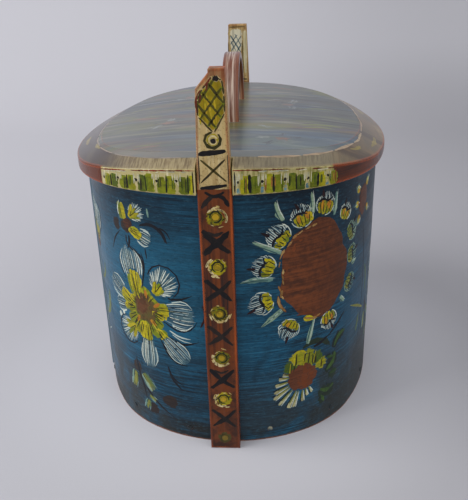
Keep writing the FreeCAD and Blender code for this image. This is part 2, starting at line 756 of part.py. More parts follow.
def make_handle():
    """The bent strap; each leg goes down through the lid and is split at its end for a wedge."""
    body = new_body("handle")
    arch = new_sketch(body, "handle_arch", "YZ_Plane", "Dims.handle_shift")
    add_arch(arch)
    add_pad(body, "handle_strap", arch, "Dims.handle_width", symmetric=True)
    cheek = float(body.Shape.BoundBox.XLength) / 2
    middle_x = body.Shape.BoundBox.Center.x
    foot = body.Shape.BoundBox.ZMin + 0.01

    def on_cheek(edge, middle):
        return abs(abs(middle.x - middle_x) - cheek) < 0.01 and middle.z > foot

    dress(body, "Fillet", "handle_rounded_edges", on_cheek, Radius="Dims.handle_rounding")

    splits = new_sketch(body, "handle_splits", "YZ_Plane", "Dims.handle_shift")
    for side in (-1, 1):
        add_wedge(splits, side, "Dims.wedge_fit")
    add_pocket(body, "handle_split_cut", splits, "Dims.handle_width + 1", symmetric=True)
    return body


def add_wedge(sketch, side, grow):
    """Draw a wedge in the end of one leg, grown all round by a fit."""
    middle = f"{side} * Fit.leg_middle"
    base = f"(Dims.wedge_base / 2 + {grow})"
    tip = f"(Dims.wedge_tip / 2 + {grow})"
    top = f"Fit.handle_end + Dims.wedge_height + {grow}"
    corners = [
        (f"{middle} - {base}", f"Fit.handle_end - {grow}"),
        (f"{middle} + {base}", f"Fit.handle_end - {grow}"),
        (f"{middle} + {tip}", top),
        (f"{middle} - {tip}", top),
    ]
    add_polygon(sketch, corners)


def make_wedges():
    bodies = []
    for name, side in (("near_wedge", -1), ("far_wedge", 1)):
        body = new_body(name)
        profile = new_sketch(body, f"{name}_profile", "YZ_Plane", "Dims.handle_shift")
        add_wedge(profile, side, "0")
        add_pad(body, f"{name}_pad", profile, "Dims.handle_width - 2 * Dims.handle_rounding", symmetric=True)
        bodies.append(body)
    return group("handle_wedges", bodies)


# ---------------------------------------------------------------- assembly


def build():
    """Make every piece and return the finished ones."""
    bottom_pegs, bottom_peg_holes = make_bottom_pegs()
    near_pegs, near_holes = make_post_pegs("near_post", "Dims.near_post_shift", -1)
    far_pegs, far_holes = make_post_pegs("far_post", "Dims.far_post_shift", 1)
    batten_pegs, batten_holes = make_batten_pegs()
    near_lacing, near_slots = make_lacing("seam_lacing_near", -1)
    far_lacing, far_slots = make_lacing("seam_lacing_far", 1)
    band_holes = group("band_holes", [bottom_peg_holes, near_holes, far_holes, near_slots, far_slots])
    board_holes = group("board_holes", [bottom_peg_holes, near_holes, far_holes])
    return [
        make_side_band(band_holes),
        near_lacing,
        far_lacing,
        make_bottom_board(board_holes),
        bottom_pegs,
        make_post("near_post", -1, True, near_holes),
        make_post("far_post", 1, False, far_holes),
        near_pegs,
        far_pegs,
        make_lid_board(batten_holes),
        make_batten("near_batten", -1, batten_holes),
        make_batten("far_batten", 1, batten_holes),
        batten_pegs,
        make_handle(),
        make_wedges(),
    ]


def check(pieces):
    """Refuse a document with a failed object, or a piece whose shape is missing or not valid."""
    for item in doc.Objects:
        if "Invalid" in item.State or "Error" in item.State:
            raise RuntimeError(f"{item.Name} failed: {item.State}")
    for piece in pieces:
        if piece.Shape.isNull() or not piece.Shape.isValid():
            raise RuntimeError(f"{piece.Label} has no valid shape")
        solids = piece.Shape.Solids
        box = piece.Shape.BoundBox
        print(f"{piece.Label}: {len(solids)} solids, {sum(s.Volume for s in solids):.0f} mm3, {box}")


def export(pieces):
    os.makedirs("parts", exist_ok=True)
    for piece in pieces:
        piece.Shape.exportStep(os.path.join("parts", f"{piece.Label}.step"))


make_sheet()
make_derived()
finished = build()
doc.recompute()
check(finished)
export(finished)
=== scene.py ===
"""Paint and finish for a bentwood lidded box: blue oval band, red-brown posts, painted flowers and a picket border."""

import math
import random

import bpy
import numpy as np
from mathutils import Matrix, Vector
from mathutils.bvhtree import BVHTree


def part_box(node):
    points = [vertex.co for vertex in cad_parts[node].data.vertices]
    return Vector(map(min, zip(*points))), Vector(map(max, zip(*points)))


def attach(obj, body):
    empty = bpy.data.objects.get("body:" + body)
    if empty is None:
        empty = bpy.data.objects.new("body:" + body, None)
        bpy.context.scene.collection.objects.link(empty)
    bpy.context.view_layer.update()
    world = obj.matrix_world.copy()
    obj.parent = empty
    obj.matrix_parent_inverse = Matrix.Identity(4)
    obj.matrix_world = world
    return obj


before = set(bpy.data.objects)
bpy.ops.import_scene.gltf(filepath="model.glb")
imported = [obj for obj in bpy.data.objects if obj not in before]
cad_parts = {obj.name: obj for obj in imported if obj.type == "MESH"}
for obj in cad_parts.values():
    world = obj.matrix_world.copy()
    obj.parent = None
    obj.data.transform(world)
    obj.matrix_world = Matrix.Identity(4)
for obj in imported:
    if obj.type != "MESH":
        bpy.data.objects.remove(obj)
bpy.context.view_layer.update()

bl_info = {
    "name": "Bentwood lidded box",
    "version": (1, 0, 0),
    "blender": (4, 5, 0),
    "location": "View3D > Sidebar > Bentwood box",
    "description": "Paints the packed bentwood box and sets up its studio",
    "category": "Object",
}

MM = 0.001
LID_VARNISH = {"coat": 0.5, "coat_rough": 0.3, "gloss": 0.35}
UV_NAME = "Mark"
TONE = "tone"
EDGE = "edge"
NEAR_POST_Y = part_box("near_post")[0].y
FAR_POST_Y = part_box("far_post")[1].y
POST_X = -0.0028
FAR_POST_X = -0.0016
RIM_TOP = 0.2171
RIM_LOW = 200.5  # mm; where the pickets start
WIDE_MARK = 12  # mm; a wider mark needs the finer blank to follow a curved wall
CREAM_OFFSET = 0.00375
FIELD_POWER = 2.6  # how square the lid's field is: 2 is an ellipse
SHOULDER_HALF_LENGTH = 0.126
ROUND_FOOT, ROUND_STEP = 10, 35.07  # mm; the lowest round's height and the way to the next
LOWEST_ROUND = 20  # mm; a round below this height is worn dull
MARK_ROUGHNESS = 0.42
NODE_SPACING = 180
LEFT_OUT = 0.12  # share of the rim's red dashes that are worn away


def paint(red, green, blue):
    """A colour given as 0..255 screen values, as the linear numbers that shaders take."""
    return tuple(
        c / 12.92 if c <= 0.04045 else ((c + 0.055) / 1.055) ** 2.4
        for c in (red / 255, green / 255, blue / 255)
    )


def colour(name, description, *rgb):
    return bpy.props.FloatVectorProperty(
        name=name, description=description, subtype="COLOR", size=3, min=0.0, max=1.0, default=paint(*rgb)
    )


def number(name, description, default, **more):
    return bpy.props.FloatProperty(name=name, description=description, default=default, **more)


def length(name, description, default):
    return number(name, description, default, min=0.0, subtype="DISTANCE", unit="LENGTH")


# ---- properties


class TINE_PG_paints(bpy.types.PropertyGroup):
    """The paint pots."""

    blue: colour("Band blue", "The blue of the band", 14, 76, 104)
    bright_blue: colour("Bright blue", "Thin streaks where the blue is lighter", 44, 118, 152)
    # also used for the painted shadow under the lid and the painted shade on the band's right
    dark_blue: colour("Dark blue", "Blue in the darker brush marks", 8, 32, 46)
    grime: colour("Grime", "Brown-black handling dirt low on the band", 42, 41, 36)
    field_blue: colour("Lid blue", "The grey-blue of the lid's middle field", 76, 82, 76)
    red_brown: colour("Red-brown", "The posts, the lid's border and the flower hearts", 114, 56, 20)
    orange: colour("Worn orange", "Where red-brown has rubbed through along an edge", 190, 90, 32)
    cream: colour("Cream", "The ground of the pickets and post heads", 198, 172, 116)
    white: colour("White", "Fine petal lines", 226, 232, 216)
    yellow: colour("Yellow", "Petal feet, buds and rounds", 206, 190, 24)
    green: colour("Yellow-green", "The greener yellow", 120, 134, 20)
    leaf: colour("Leaf", "The pale leaves round the big flowers", 148, 172, 142)
    dark_green: colour("Dark green", "The low leaves", 34, 50, 36)
    black: colour("Black", "Outlines, crosses and stems", 14, 14, 18)
    wood: colour("Bare wood", "Inside, underneath and where paint never went", 168, 130, 86)
    dark_wood: colour("Dark wood", "Grain lines and old wear", 104, 72, 44)
    root: colour("Root", "The lacing of split root", 128, 98, 62)


class TINE_PG_sizes(bpy.types.PropertyGroup):
    """Sizes of the brush work."""

    body: length("Paint body", "How far a full brush mark stands up", 0.00009)
    layer: length("Layer", "How much higher each later layer lies", 0.00002)
    sunk: length("Sunk", "How far a mark reaches into the wood under it", 0.0001)
    fine_line: length("Fine line", "Width of the thin white petal lines", 0.00095)
    outline: length("Outline", "Width of the dark lines", 0.0016)
    cross_line: length("Cross line", "Width of the crosses on the posts", 0.0041)
    round_radius: length("Round", "Radius of the painted rounds on the pegs", 0.0062)
    picket_step: length("Picket step", "From one dark picket line to the next", 0.0145)
    field_half_width: length("Field half width", "From the lid's middle to the border line, sideways", 0.101)
    field_half_length: length("Field half length", "From the lid's middle to the border line, lengthways", 0.132)
    cream_half_width: length("Cream half width", "Half the width of the cream end of the rim", 0.0753)
    head_start: length("Head start", "Height where the posts turn from red-brown to cream", 0.2035)


class TINE_PG_stage(bpy.types.PropertyGroup):
    """Camera, floor and lamps."""

    camera_place: bpy.props.FloatVectorProperty(
        name="Camera place", description="Where the camera stands", subtype="TRANSLATION", unit="LENGTH",
        default=(0.03495, -0.51331, 0.32980),
    )
    camera_pitch: number("Pitch", "How far the camera looks down", math.radians(24.253), subtype="ANGLE")
    camera_yaw: number("Yaw", "How far the camera looks to the right", math.radians(-4.134), subtype="ANGLE")
    camera_roll: number("Roll", "How far the camera leans", math.radians(-1.854), subtype="ANGLE")
    lens: number("Lens", "Focal length in millimetres", 45.69, min=1.0, unit="CAMERA")
    sweep_start: length("Sweep start", "How far behind the middle the floor starts to rise", 0.8)
    sweep_radius: length("Sweep radius", "Radius of the curve from floor to backdrop", 0.7)
    floor: colour("Floor", "The pale floor and backdrop", 198, 197, 203)
    backdrop: colour("Backdrop", "The cloth where it rises behind", 206, 205, 211)
    key_power: number("Key lamp", "Power of the main lamp", 19.0, unit="POWER")
    fill_power: number("Fill lamp", "Power of the lamp on the right", 3.0, unit="POWER")
    back_power: number("Back lamp", "Power of the lamp on the backdrop", 2.5, unit="POWER")
    sky: number("Sky", "Strength of the even light from all round", 0.66)


GROUPS = (TINE_PG_paints, TINE_PG_sizes, TINE_PG_stage)


def pots():
    return bpy.context.scene.tine_paints


def sizes():
    return bpy.context.scene.tine_sizes


def mixed(tone):
    """A paint by its pot's name, by its 0..255 screen values, or as it comes from another node."""
    if isinstance(tone, str):
        return getattr(pots(), tone)
    return tone if isinstance(tone, bpy.types.NodeSocket) else paint(*tone)


# ---- shader helpers


BOARD = {}  # the node tree being laid out, and its next free column


def lay_out(tree):
    """Makes a node tree the one that the functions below add to."""
    BOARD.update(tree=tree, column=0)


def put(socket, value):
    """Joins a socket to another one, or sets its plain value."""
    if isinstance(value, bpy.types.NodeSocket):
        BOARD["tree"].links.new(value, socket)
    elif hasattr(value, "__len__") and socket.type == "RGBA" and len(value) == 3:
        socket.default_value = (*value, 1.0)
    else:
        socket.default_value = value


def add_node(kind, values=None, **settings):
    made = BOARD["tree"].nodes.new("ShaderNode" + kind)
    made.location = (BOARD["column"] * NODE_SPACING, 0)
    BOARD["column"] += 1
    for name, value in settings.items():
        setattr(made, name, value)
    for key, value in (values or {}).items():
        put(made.inputs[key], value)
    return made


def calc(operation, *values):
    return add_node("Math", dict(enumerate(values)), operation=operation).outputs[0]


def mul(first, second):
    return calc("MULTIPLY", first, second)


def add(first, second):
    return calc("ADD", first, second)


def size_of(value):
    return calc("ABSOLUTE", value)


def step(value, low, high):
    """0 below low, 1 above high, smooth between."""
    return add_node("MapRange", {"Value": value, 1: low, 2: high}, interpolation_type="SMOOTHSTEP").outputs[0]


def blend(factor, first, second, mode="MIX"):
    return add_node("Mix", {0: factor, 6: first, 7: second}, data_type="RGBA", blend_type=mode).outputs[2]


def over(shade, mask, strength, tone):
    """A tone laid over a shade where the mask is, at a strength."""
    return blend(mul(mask, strength), shade, mixed(tone))


def lerp(factor, first, second):
    return add_node("Mix", {0: factor, 2: first, 3: second}, data_type="FLOAT").outputs[0]


def times(vector, scale):
    return add_node("VectorMath", {0: vector, 1: scale}, operation="MULTIPLY").outputs[0]


def stretch(vector, scale, offset=(0, 0, 0)):
    return add_node("Mapping", {"Vector": vector, "Scale": scale, "Location": offset}).outputs[0]


def noise(vector, scale=1.0, detail=2.0, roughness=0.5, distortion=0.0):
    values = {"Vector": vector, "Scale": scale, "Detail": detail, "Roughness": roughness, "Distortion": distortion}
    return add_node("TexNoise", values).outputs[0]


def split(vector):
    return add_node("SeparateXYZ", {0: vector}).outputs


def facing():
    return add_node("NewGeometry").outputs["Normal"]


def group(name, **values):
    """A shared group, by its name and the values of its sockets."""
    made = add_node("Group", node_tree=bpy.data.node_groups[name])
    for key, value in values.items():
        put(made.inputs[key.replace("_", " ")], value)
    return made.outputs


def brushed(spot, along, colour, light, dark):
    return group("brushed paint", Coordinate=spot, Stretch=along, Colour=mixed(colour), Light=mixed(light),
                 Dark=mixed(dark))


def grained(spot, along, light="wood", dark="dark_wood"):
    return group("wood grain", Coordinate=spot, Stretch=along, Light=mixed(light), Dark=mixed(dark))


def worn(spot, width, break_up):
    return group("worn edges", Coordinate=spot, Width=width, Break_up=break_up)["Mask"]


def oval(x, y, half_width, half_length):
    """Below 1 inside the lid's rounded field shape, above 1 outside it."""
    return add(*(calc("POWER", size_of(calc("DIVIDE", at, half)), FIELD_POWER)
                 for at, half in ((x, half_width), (y, half_length))))


def new_group(name, inputs, outputs):
    """Starts a shader node group with named sockets: its input sockets and a function that closes it."""
    tree = bpy.data.node_groups.new(name, "ShaderNodeTree")
    kinds = {"v": "NodeSocketVector", "c": "NodeSocketColor", "f": "NodeSocketFloat"}
    for label, kind, default in inputs:
        socket = tree.interface.new_socket(label, in_out="INPUT", socket_type=kinds[kind])
        if default is not None:
            socket.default_value = (*default, 1.0) if kind == "c" else default
    for label, kind in outputs:
        tree.interface.new_socket(label, in_out="OUTPUT", socket_type=kinds[kind])
    lay_out(tree)
    given = tree.nodes.new("NodeGroupInput").outputs
    out = tree.nodes.new("NodeGroupOutput")

    def close(**results):
        for label, value in results.items():
            put(out.inputs[label], value)

    return given, close


def new_ground(name):
    """Starts the group of a painted ground: the place on the piece and a function that closes it."""
    given, close = new_group(name, [("Coordinate", "v", None)], [("Colour", "c"), ("Roughness", "f"), ("Height", "f")])
    return given["Coordinate"], close


def brushed_group():
    """Paint laid on with a coarse brush: three tones in streaks along one direction."""
    given, close = new_group(
        "brushed paint",
        [("Coordinate", "v", None), ("Stretch", "v", (12, 12, 420)), ("Colour", "c", (1, 1, 1)),
         ("Light", "c", (1, 1, 1)), ("Dark", "c", (0, 0, 0))],
        [("Colour", "c"), ("Roughness", "f"), ("Height", "f")],
    )
    turned = times(given["Coordinate"], given["Stretch"])
    fine = noise(turned, 1.0, 4.0, 0.62)
    broad = noise(times(turned, (0.55, 0.55, 0.14)), 1.0, 2.0)
    patch = noise(given["Coordinate"], 17.0, 3.0, 0.55, 0.4)
    tone = add(mul(fine, 0.62), mul(broad, 0.38))
    dark = mul(step(patch, 0.62, 0.38), step(tone, 0.60, 0.40))
    light = mul(step(tone, 0.50, 0.66), step(patch, 0.36, 0.62))
    shade = blend(dark, given["Colour"], given["Dark"])
    shade = blend(light, shade, given["Light"])
    close(Colour=shade, Roughness=lerp(broad, 0.20, 0.52), Height=fine)


def grain_group():
    """Wood: fine fibre lines and broad growth bands, stretched along the grain."""
    given, close = new_group(
        "wood grain",
        [("Coordinate", "v", None), ("Stretch", "v", (300, 8, 300)), ("Light", "c", (1, 1, 1)),
         ("Dark", "c", (0, 0, 0))],
        [("Colour", "c"), ("Roughness", "f"), ("Height", "f")],
    )
    turned = times(given["Coordinate"], given["Stretch"])
    fibre = noise(turned, 3.0, 4.0, 0.65)
    rings = noise(turned, 0.32, 2.0, 0.5, 0.8)
    blot = noise(given["Coordinate"], 22.0, 3.0)
    tone = add(mul(fibre, 0.4), mul(rings, 0.6))
    shade = blend(step(tone, 0.62, 0.40), given["Light"], given["Dark"])
    shade = blend(mul(step(blot, 0.52, 0.78), 0.45), shade, given["Dark"])
    close(Colour=shade, Roughness=lerp(fibre, 0.55, 0.80), Height=tone)


def worn_group():
    """How rubbed a place is: 1 along sharp edges, broken up by noise."""
    given, close = new_group(
        "worn edges",
        [("Coordinate", "v", None), ("Width", "f", 0.0012), ("Break up", "f", 0.5)],
        [("Mask", "f")],
    )
    soft = add_node("Bevel", {"Radius": given["Width"]}, samples=6).outputs[0]
    turn = add_node("VectorMath", {0: soft, 1: facing()}, operation="DOT_PRODUCT").outputs["Value"]
    edge = step(calc("SUBTRACT", 1.0, turn), 0.003, 0.035)
    rub = noise(given["Coordinate"], 130.0, 3.0, 0.6)
    close(Mask=mul(edge, step(rub, mul(given["Break up"], 0.62), mul(given["Break up"], 1.15))))


def dry_brush_group():
    """Where a brush mark has left paint: streaks along the mark that break up towards its end."""
    given, close = new_group(
        "dry brush",
        [("Mark", "v", None), ("Tone", "f", 0.5), ("Edge", "f", 0.0), ("Cover", "f", 0.8), ("Bristle", "f", 1.1),
         ("Fray", "f", 0.85)],
        [("Mask", "f"), ("Height", "f")],
    )
    across, along, _ = split(given["Mark"])
    place = add_node("CombineXYZ", {
        0: mul(across, given["Bristle"]),
        1: mul(along, 2.4),
        2: mul(given["Tone"], 61.0),
    }).outputs[0]
    hair = noise(place, 1.0, 3.0, 0.6)
    run_out = mul(step(along, 0.55, 1.05), 0.22)
    fray = mul(step(given["Edge"], 0.45, 1.1), given["Fray"])
    level = add(calc("SUBTRACT", 1.0, calc("SUBTRACT", given["Cover"], run_out)), fray)
    gap = calc("SUBTRACT", hair, mul(level, 0.85))
    close(Mask=step(gap, -0.05, 0.09), Height=hair)


# grounds under marks that lie on other marks: streak lengths, middle, light and dark tone
PLAIN_GROUNDS = {
    "yellow ground": ((300, 300, 120), "green", "yellow", (78, 78, 22)),  # under a small flower heart
    "brown ground": ((60, 60, 420), "red_brown", (128, 68, 38), (66, 38, 28)),  # a large heart, smeared sideways
    "smear ground": ((200, 200, 200), (104, 78, 40), (118, 100, 42), (82, 66, 40)),  # grey-brown over yellow
}


def plain_groups():
    """The streaked grounds of the table above."""
    for name, tones in PLAIN_GROUNDS.items():
        spot, close = new_ground(name)
        base = brushed(spot, *tones)
        close(Colour=base["Colour"], Roughness=base["Roughness"], Height=base["Height"])


def wall_group():
    """The band's blue: fine hair lines sideways, a painted shadow under the lid, painted shade right and painted light
    left, dirtier low down, rubbed along the foot.
    """
    spot, close = new_ground("band paint")
    height = split(spot)[2]
    base = brushed(spot, (18, 18, 700), "blue", "bright_blue", "dark_blue")
    hair = noise(stretch(spot, (34, 34, 1500)), 1.0, 2.0, 0.7)
    zone = noise(spot, 8.0, 3.0, 0.55, 0.5)
    shade = blend(mul(step(hair, 0.46, 0.34), 0.75), base["Colour"], pots().dark_blue)
    bright = mul(step(hair, 0.56, 0.68), step(zone, 0.40, 0.60))
    shade = over(shade, bright, 0.75, "bright_blue")
    # painted shadow: darker blue high on the band, under the lid's overhang
    shadow = mul(step(height, 0.125, 0.196), step(zone, 0.72, 0.36))
    shade = over(shade, shadow, 0.8, "dark_blue")
    x = split(spot)[0]
    # painted shade: darker blue on the right half at mid height, away from the lamp
    painted_shade_right = mul(step(height, 0.06, 0.17), step(x, -0.02, 0.06))
    shade = over(shade, painted_shade_right, 0.62, "dark_blue")
    # painted light: a lighter, brighter blue on the left half at mid height, towards the lamp
    fresh = mul(step(height, 0.06, 0.10), step(height, 0.185, 0.145))
    fresh = mul(fresh, step(x, 0.04, -0.02))
    shade = over(shade, fresh, 0.40, (32, 110, 142))
    blot = noise(spot, 26.0, 4.0, 0.6, 0.5)
    low = mul(step(height, 0.095, 0.005), step(blot, 0.30, 0.60))
    shade = over(shade, low, 0.78, "grime")
    corner = mul(step(size_of(x), 0.03, 0.085), step(height, 0.085, 0.03))
    shade = blend(mul(corner, mul(step(blot, 0.30, 0.55), 0.7)), shade,
                  blend(step(x, -0.02, 0.02), paint(62, 64, 62), paint(48, 50, 44)))
    smear = mul(step(noise(spot, 13.0, 3.0, 0.6, 0.8), 0.58, 0.74), 0.5)
    shade = blend(smear, shade, pots().dark_blue)
    ragged = add(height, mul(noise(spot, 160.0, 3.0), -0.0024))
    foot = step(ragged, 0.0003, -0.0007)
    shade = blend(foot, shade, paint(116, 78, 62))
    fleck = noise(stretch(spot, (260, 260, 760)), 1.0, 3.0, 0.7)
    shade = blend(mul(step(fleck, 0.54, 0.70), 0.34), shade, paint(58, 112, 134))
    shade = blend(mul(step(fleck, 0.46, 0.32), 0.50), shade, paint(10, 28, 38))
    relief = mul(add(base["Height"], mul(hair, 0.8)), 0.5556)
    close(Colour=shade, Roughness=lerp(low, base["Roughness"], 0.5), Height=relief)


def post_group():
    """The posts: red-brown below, cream head above, orange where the edges are rubbed."""
    spot, close = new_ground("post paint")
    height = split(spot)[2]
    base = brushed(spot, (420, 60, 16), "red_brown", (112, 62, 40), (46, 30, 26))
    head = brushed(spot, (520, 200, 30), "cream", (216, 198, 150), (140, 108, 64))
    stain = mul(step(noise(spot, 60.0, 4.0, 0.7), 0.55, 0.72), 0.5)
    pale = blend(stain, head["Colour"], paint(120, 92, 56))
    speck = mul(step(noise(spot, 760.0, 2.0, 0.7), 0.56, 0.66), 0.55)
    pale = blend(speck, pale, paint(104, 76, 44))
    wavy = add(height, mul(noise(spot, 140.0, 2.0), 0.0016))
    top = step(wavy, sizes().head_start + 0.0006, sizes().head_start + 0.0012)
    smut = add(noise(spot, 40.0, 4.0, 0.65), mul(step(height, 0.085, 0.02), 0.16))
    dirty = mul(step(smut, 0.5, 0.70), 0.8)
    low = blend(dirty, base["Colour"], paint(38, 27, 24))
    close(Colour=blend(top, low, pale), Roughness=lerp(top, base["Roughness"], 0.5), Height=base["Height"])


def rim_group():
    """The lid's wall: cream at both ends, red-brown round the sides."""
    spot, close = new_ground("rim paint")
    across = size_of(add(split(spot)[0], CREAM_OFFSET))
    red = brushed(spot, (20, 20, 420), (98, 43, 14), (116, 54, 24), (44, 28, 22))
    cream = brushed(spot, (520, 520, 60), (190, 176, 120), (222, 212, 172), (128, 124, 56))
    end = step(across, sizes().cream_half_width + 0.0006, sizes().cream_half_width - 0.0006)
    close(Colour=blend(end, red["Colour"], cream["Colour"]), Roughness=red["Roughness"], Height=red["Height"])


def top_group():
    """The lid's top: a grey-blue field, a red-brown border, and a hatched cream border at the ends."""
    spot, close = new_ground("lid paint")
    x, y, _ = split(spot)
    inside = oval(x, y, sizes().field_half_width, sizes().field_half_length)
    wavy = add(inside, mul(noise(spot, 60.0, 2.0), 0.03))
    field = step(wavy, 1.03, 1.0)
    blue = brushed(spot, (12, 250, 60), "field_blue", (116, 118, 102), (48, 60, 60))
    shade = blue["Colour"]
    lively = lerp(step(x, -0.08, 0.05), 0.62, 1.0)
    for scale, shift, low, high, strength, tint in (
        ((7, 36, 30), 0.0, 0.50, 0.64, 0.72, paint(122, 86, 56)),
        ((10, 36, 30), 3.0, 0.52, 0.66, 0.80, paint(104, 110, 40)),
        ((9, 42, 30), 7.0, 0.52, 0.68, 0.62, paint(46, 84, 114)),
        ((14, 110, 30), 11.0, 0.54, 0.70, 0.55, paint(158, 154, 130)),
        ((14, 96, 30), 15.0, 0.54, 0.70, 0.66, paint(32, 34, 30)),
    ):
        streak = noise(stretch(spot, scale, (shift, shift, 0)), 1.0, 3.0, 0.6, 0.5)
        factor = mul(step(streak, low, high), mul(lively, strength))
        shade = blend(factor, shade, tint)
    front = mul(step(y, -0.05, -0.11), step(x, -0.09, 0.05))
    warm = over(shade, front, 0.5, (84, 112, 128))
    turned = oval(x, y, sizes().field_half_width, SHOULDER_HALF_LENGTH)
    shoulder = mul(step(turned, 0.945, 0.985), step(size_of(y), 0.09, 0.115))
    warm = over(warm, shoulder, 0.62, (146, 144, 138))
    red = brushed(spot, (90, 12, 60), (98, 66, 36), (164, 142, 90), (30, 24, 20))
    hatch = noise(stretch(spot, (760, 60, 60)), 1.0, 4.0, 0.65)
    olive = blend(step(hatch, 0.34, 0.62), paint(114, 96, 62), paint(164, 148, 108))
    tan = step(noise(spot, 55.0, 3.0, 0.6), 0.50, 0.66)
    olive = over(olive, tan, 0.55, (112, 84, 48))
    olive = blend(mul(step(x, 0.0, 0.03), 0.55), olive, paint(112, 108, 92))
    near_end = mul(step(size_of(add(x, -0.003)), 0.090, 0.056), step(size_of(y), 0.10, 0.11))
    near_end = mul(near_end, lerp(step(x, -0.085, -0.035), 0.55, 1.0))
    # painted shade: the border darker on the left; painted light: lighter on the right
    side = blend(mul(step(x, -0.01, -0.08), 0.88), red["Colour"], paint(46, 36, 30))
    side = blend(mul(step(x, 0.03, 0.10), 0.28), side, paint(168, 146, 98))
    smut = step(noise(stretch(spot, (16, 42, 20)), 1.0, 3.0, 0.6, 0.4), 0.50, 0.62)
    side = blend(mul(smut, lerp(step(x, -0.02, 0.08), 0.35, 0.75)), side, paint(62, 46, 30))
    border = blend(near_end, side, olive)
    close(Colour=blend(field, border, warm), Roughness=lerp(blue["Roughness"], 0.16, 0.42), Height=blue["Height"])


SHARED_GROUPS = (brushed_group, grain_group, worn_group, dry_brush_group, plain_groups, wall_group, post_group,
                 rim_group, top_group)


def new_material(name):
    """An empty material: itself, its Principled shader and the place on the piece, in its own coordinates."""
    material = bpy.data.materials.new(name)
    material.use_nodes = True
    material.node_tree.nodes.clear()
    lay_out(material.node_tree)
    shader = add_node("BsdfPrincipled")
    add_node("OutputMaterial", {"Surface": shader.outputs[0]})
    return material, shader, add_node("TexCoord").outputs["Object"]


def finish_material(shader, shade, ground, relief=0.00012, coat=0.05, coat_rough=0.16, gloss=0.22):
    """Joins a colour and its ground's roughness and relief to the shader, under a coat of old varnish."""
    put(shader.inputs["Base Color"], shade)
    put(shader.inputs["Roughness"], ground["Roughness"])
    bump = add_node("Bump", {"Height": ground["Height"], "Strength": 1.0, "Distance": relief})
    put(shader.inputs["Normal"], bump.outputs[0])
    shader.inputs["Specular IOR Level"].default_value = gloss
    shader.inputs["Coat Weight"].default_value = coat
    shader.inputs["Coat Roughness"].default_value = coat_rough


def mark_material(name, ground, first, second, cover, bristle, streak=0.0, fray=0.85, lee=0.0, glaze=False, **varnish):
    """Brush-mark paint: two tones of one colour in hair lines, with the ground showing where the brush ran dry."""
    _, shader, here = new_material(name)
    mark = add_node("UVMap", uv_map=UV_NAME).outputs[0]
    tone = add_node("Attribute", attribute_name=TONE).outputs["Fac"]
    under = group(ground, Coordinate=here)
    edge = add_node("Attribute", attribute_name=EDGE).outputs["Fac"]
    brush = group("dry brush", Mark=mark, Tone=tone, Edge=edge, Cover=cover, Bristle=bristle, Fray=fray)
    mottle = noise(here, 260.0, 2.0, 0.6)
    mixing = add(mul(mottle, 0.55), mul(tone, 0.45))
    mixing = add(mixing, mul(brush["Height"], 0.8))
    shade = blend(step(mixing, 0.68, 1.15), first, second)
    if streak:
        lines = step(brush["Height"], 0.50, 0.38)
        shade = blend(mul(lines, streak), shade, [c * 0.28 for c in first])
    # painted shade: the mark darkens towards its right end, the side away from the lamp
    if lee:
        away = step(split(mark)[1], 0.20, 0.95)
        shade = blend(mul(away, lee), shade, [c * 0.34 for c in first])
    grit = mul(step(under["Height"], 0.52, 0.38), 0.5)
    shade = blend(grit, shade, (0.42, 0.42, 0.40), "MULTIPLY")
    shade = blend(brush["Mask"], under["Colour"], shade)
    if not glaze:
        under = {"Roughness": lerp(brush["Mask"], under["Roughness"], MARK_ROUGHNESS),
                 "Height": lerp(brush["Mask"], under["Height"], brush["Height"])}
    finish_material(shader, shade, under, relief=0.00016, **varnish)


def dress(material, *nodes):
    """Gives CAD nodes their better material."""
    for node in nodes:
        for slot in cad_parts[node].material_slots:
            slot.material = material


# ---- painted surfaces


def tree_of(node):
    return BVHTree.FromObject(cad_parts[node], bpy.context.evaluated_depsgraph_get())


class Wall:
    """The outside of an upright wall, unrolled: a runs round it from the near post towards +X, b is the height."""

    def __init__(self, node, height, bridge=None):
        tree = tree_of(node)
        points = []
        for step in range(1441):
            angle = math.tau * step / 1440 - math.pi / 2
            out = Vector((math.cos(angle), math.sin(angle), 0))
            hit = tree.ray_cast(out * 0.3 + Vector((0, 0, height)), -out)[0]
            if not bridge or not bridge[0] < hit.x < bridge[1]:
                points.append((hit.x, hit.y))
        if bridge:
            start = next(i for i, p in enumerate(points) if p[0] > 0 and p[1] < 0)
            points = points[start:] + points[:start]
            points = [p for i, p in enumerate(points) if i == 0 or p != points[i - 1]]
            points.append(points[0])
        line = np.array(points)
        run = np.concatenate([[0], np.cumsum(np.hypot(*np.diff(line, axis=0).T))])
        self.round = run[-1]
        self.run, self.line = run, line
        middle = np.argmin(np.hypot(line[:, 0], line[:, 1] - line[:, 1].min()))
        self.zero = run[middle] if not bridge else -abs(line[0, 0])
        ahead = self.at(run + 0.0015 - self.zero) - self.at(run - 0.0015 - self.zero)
        self.way = ahead / np.hypot(*ahead.T)[:, None]

    def at(self, a):
        s = np.mod(np.asarray(a) + self.zero, self.round)
        return np.stack([np.interp(s, self.run, self.line[:, k]) for k in (0, 1)], -1)

    def place(self, a, b, lift):
        s = np.mod(a + self.zero, self.round)
        x, y = (np.interp(s, self.run, self.line[:, k]) for k in (0, 1))
        tx, ty = (np.interp(s, self.run, self.way[:, k]) for k in (0, 1))
        return np.stack([x + ty * lift, y - tx * lift, b], -1)


class Top:
    """A surface seen from above: a is x, b is y."""

    def __init__(self, node):
        self.tree = tree_of(node)

    def place(self, a, b, lift):
        out = []
        for x, y, h in zip(a, b, lift):
            spot, normal = self.tree.ray_cast(Vector((x, y, 0.4)), Vector((0, 0, -1)))[:2]
            out.append(spot + normal * h)
        return np.array(out)


class Face:
    """A flat upright face at one y: a runs along x, towards -X on the far side, and b is the height."""

    def __init__(self, y, outward, middle=0.0):
        self.y, self.outward, self.middle = y, outward, middle

    def place(self, a, b, lift):
        return np.stack([self.middle - self.outward * a, np.full_like(a, self.y) + self.outward * lift, b], -1)


# ---- brush marks


def clear_selection():
    for o in bpy.context.selected_objects:
        o.select_set(False)


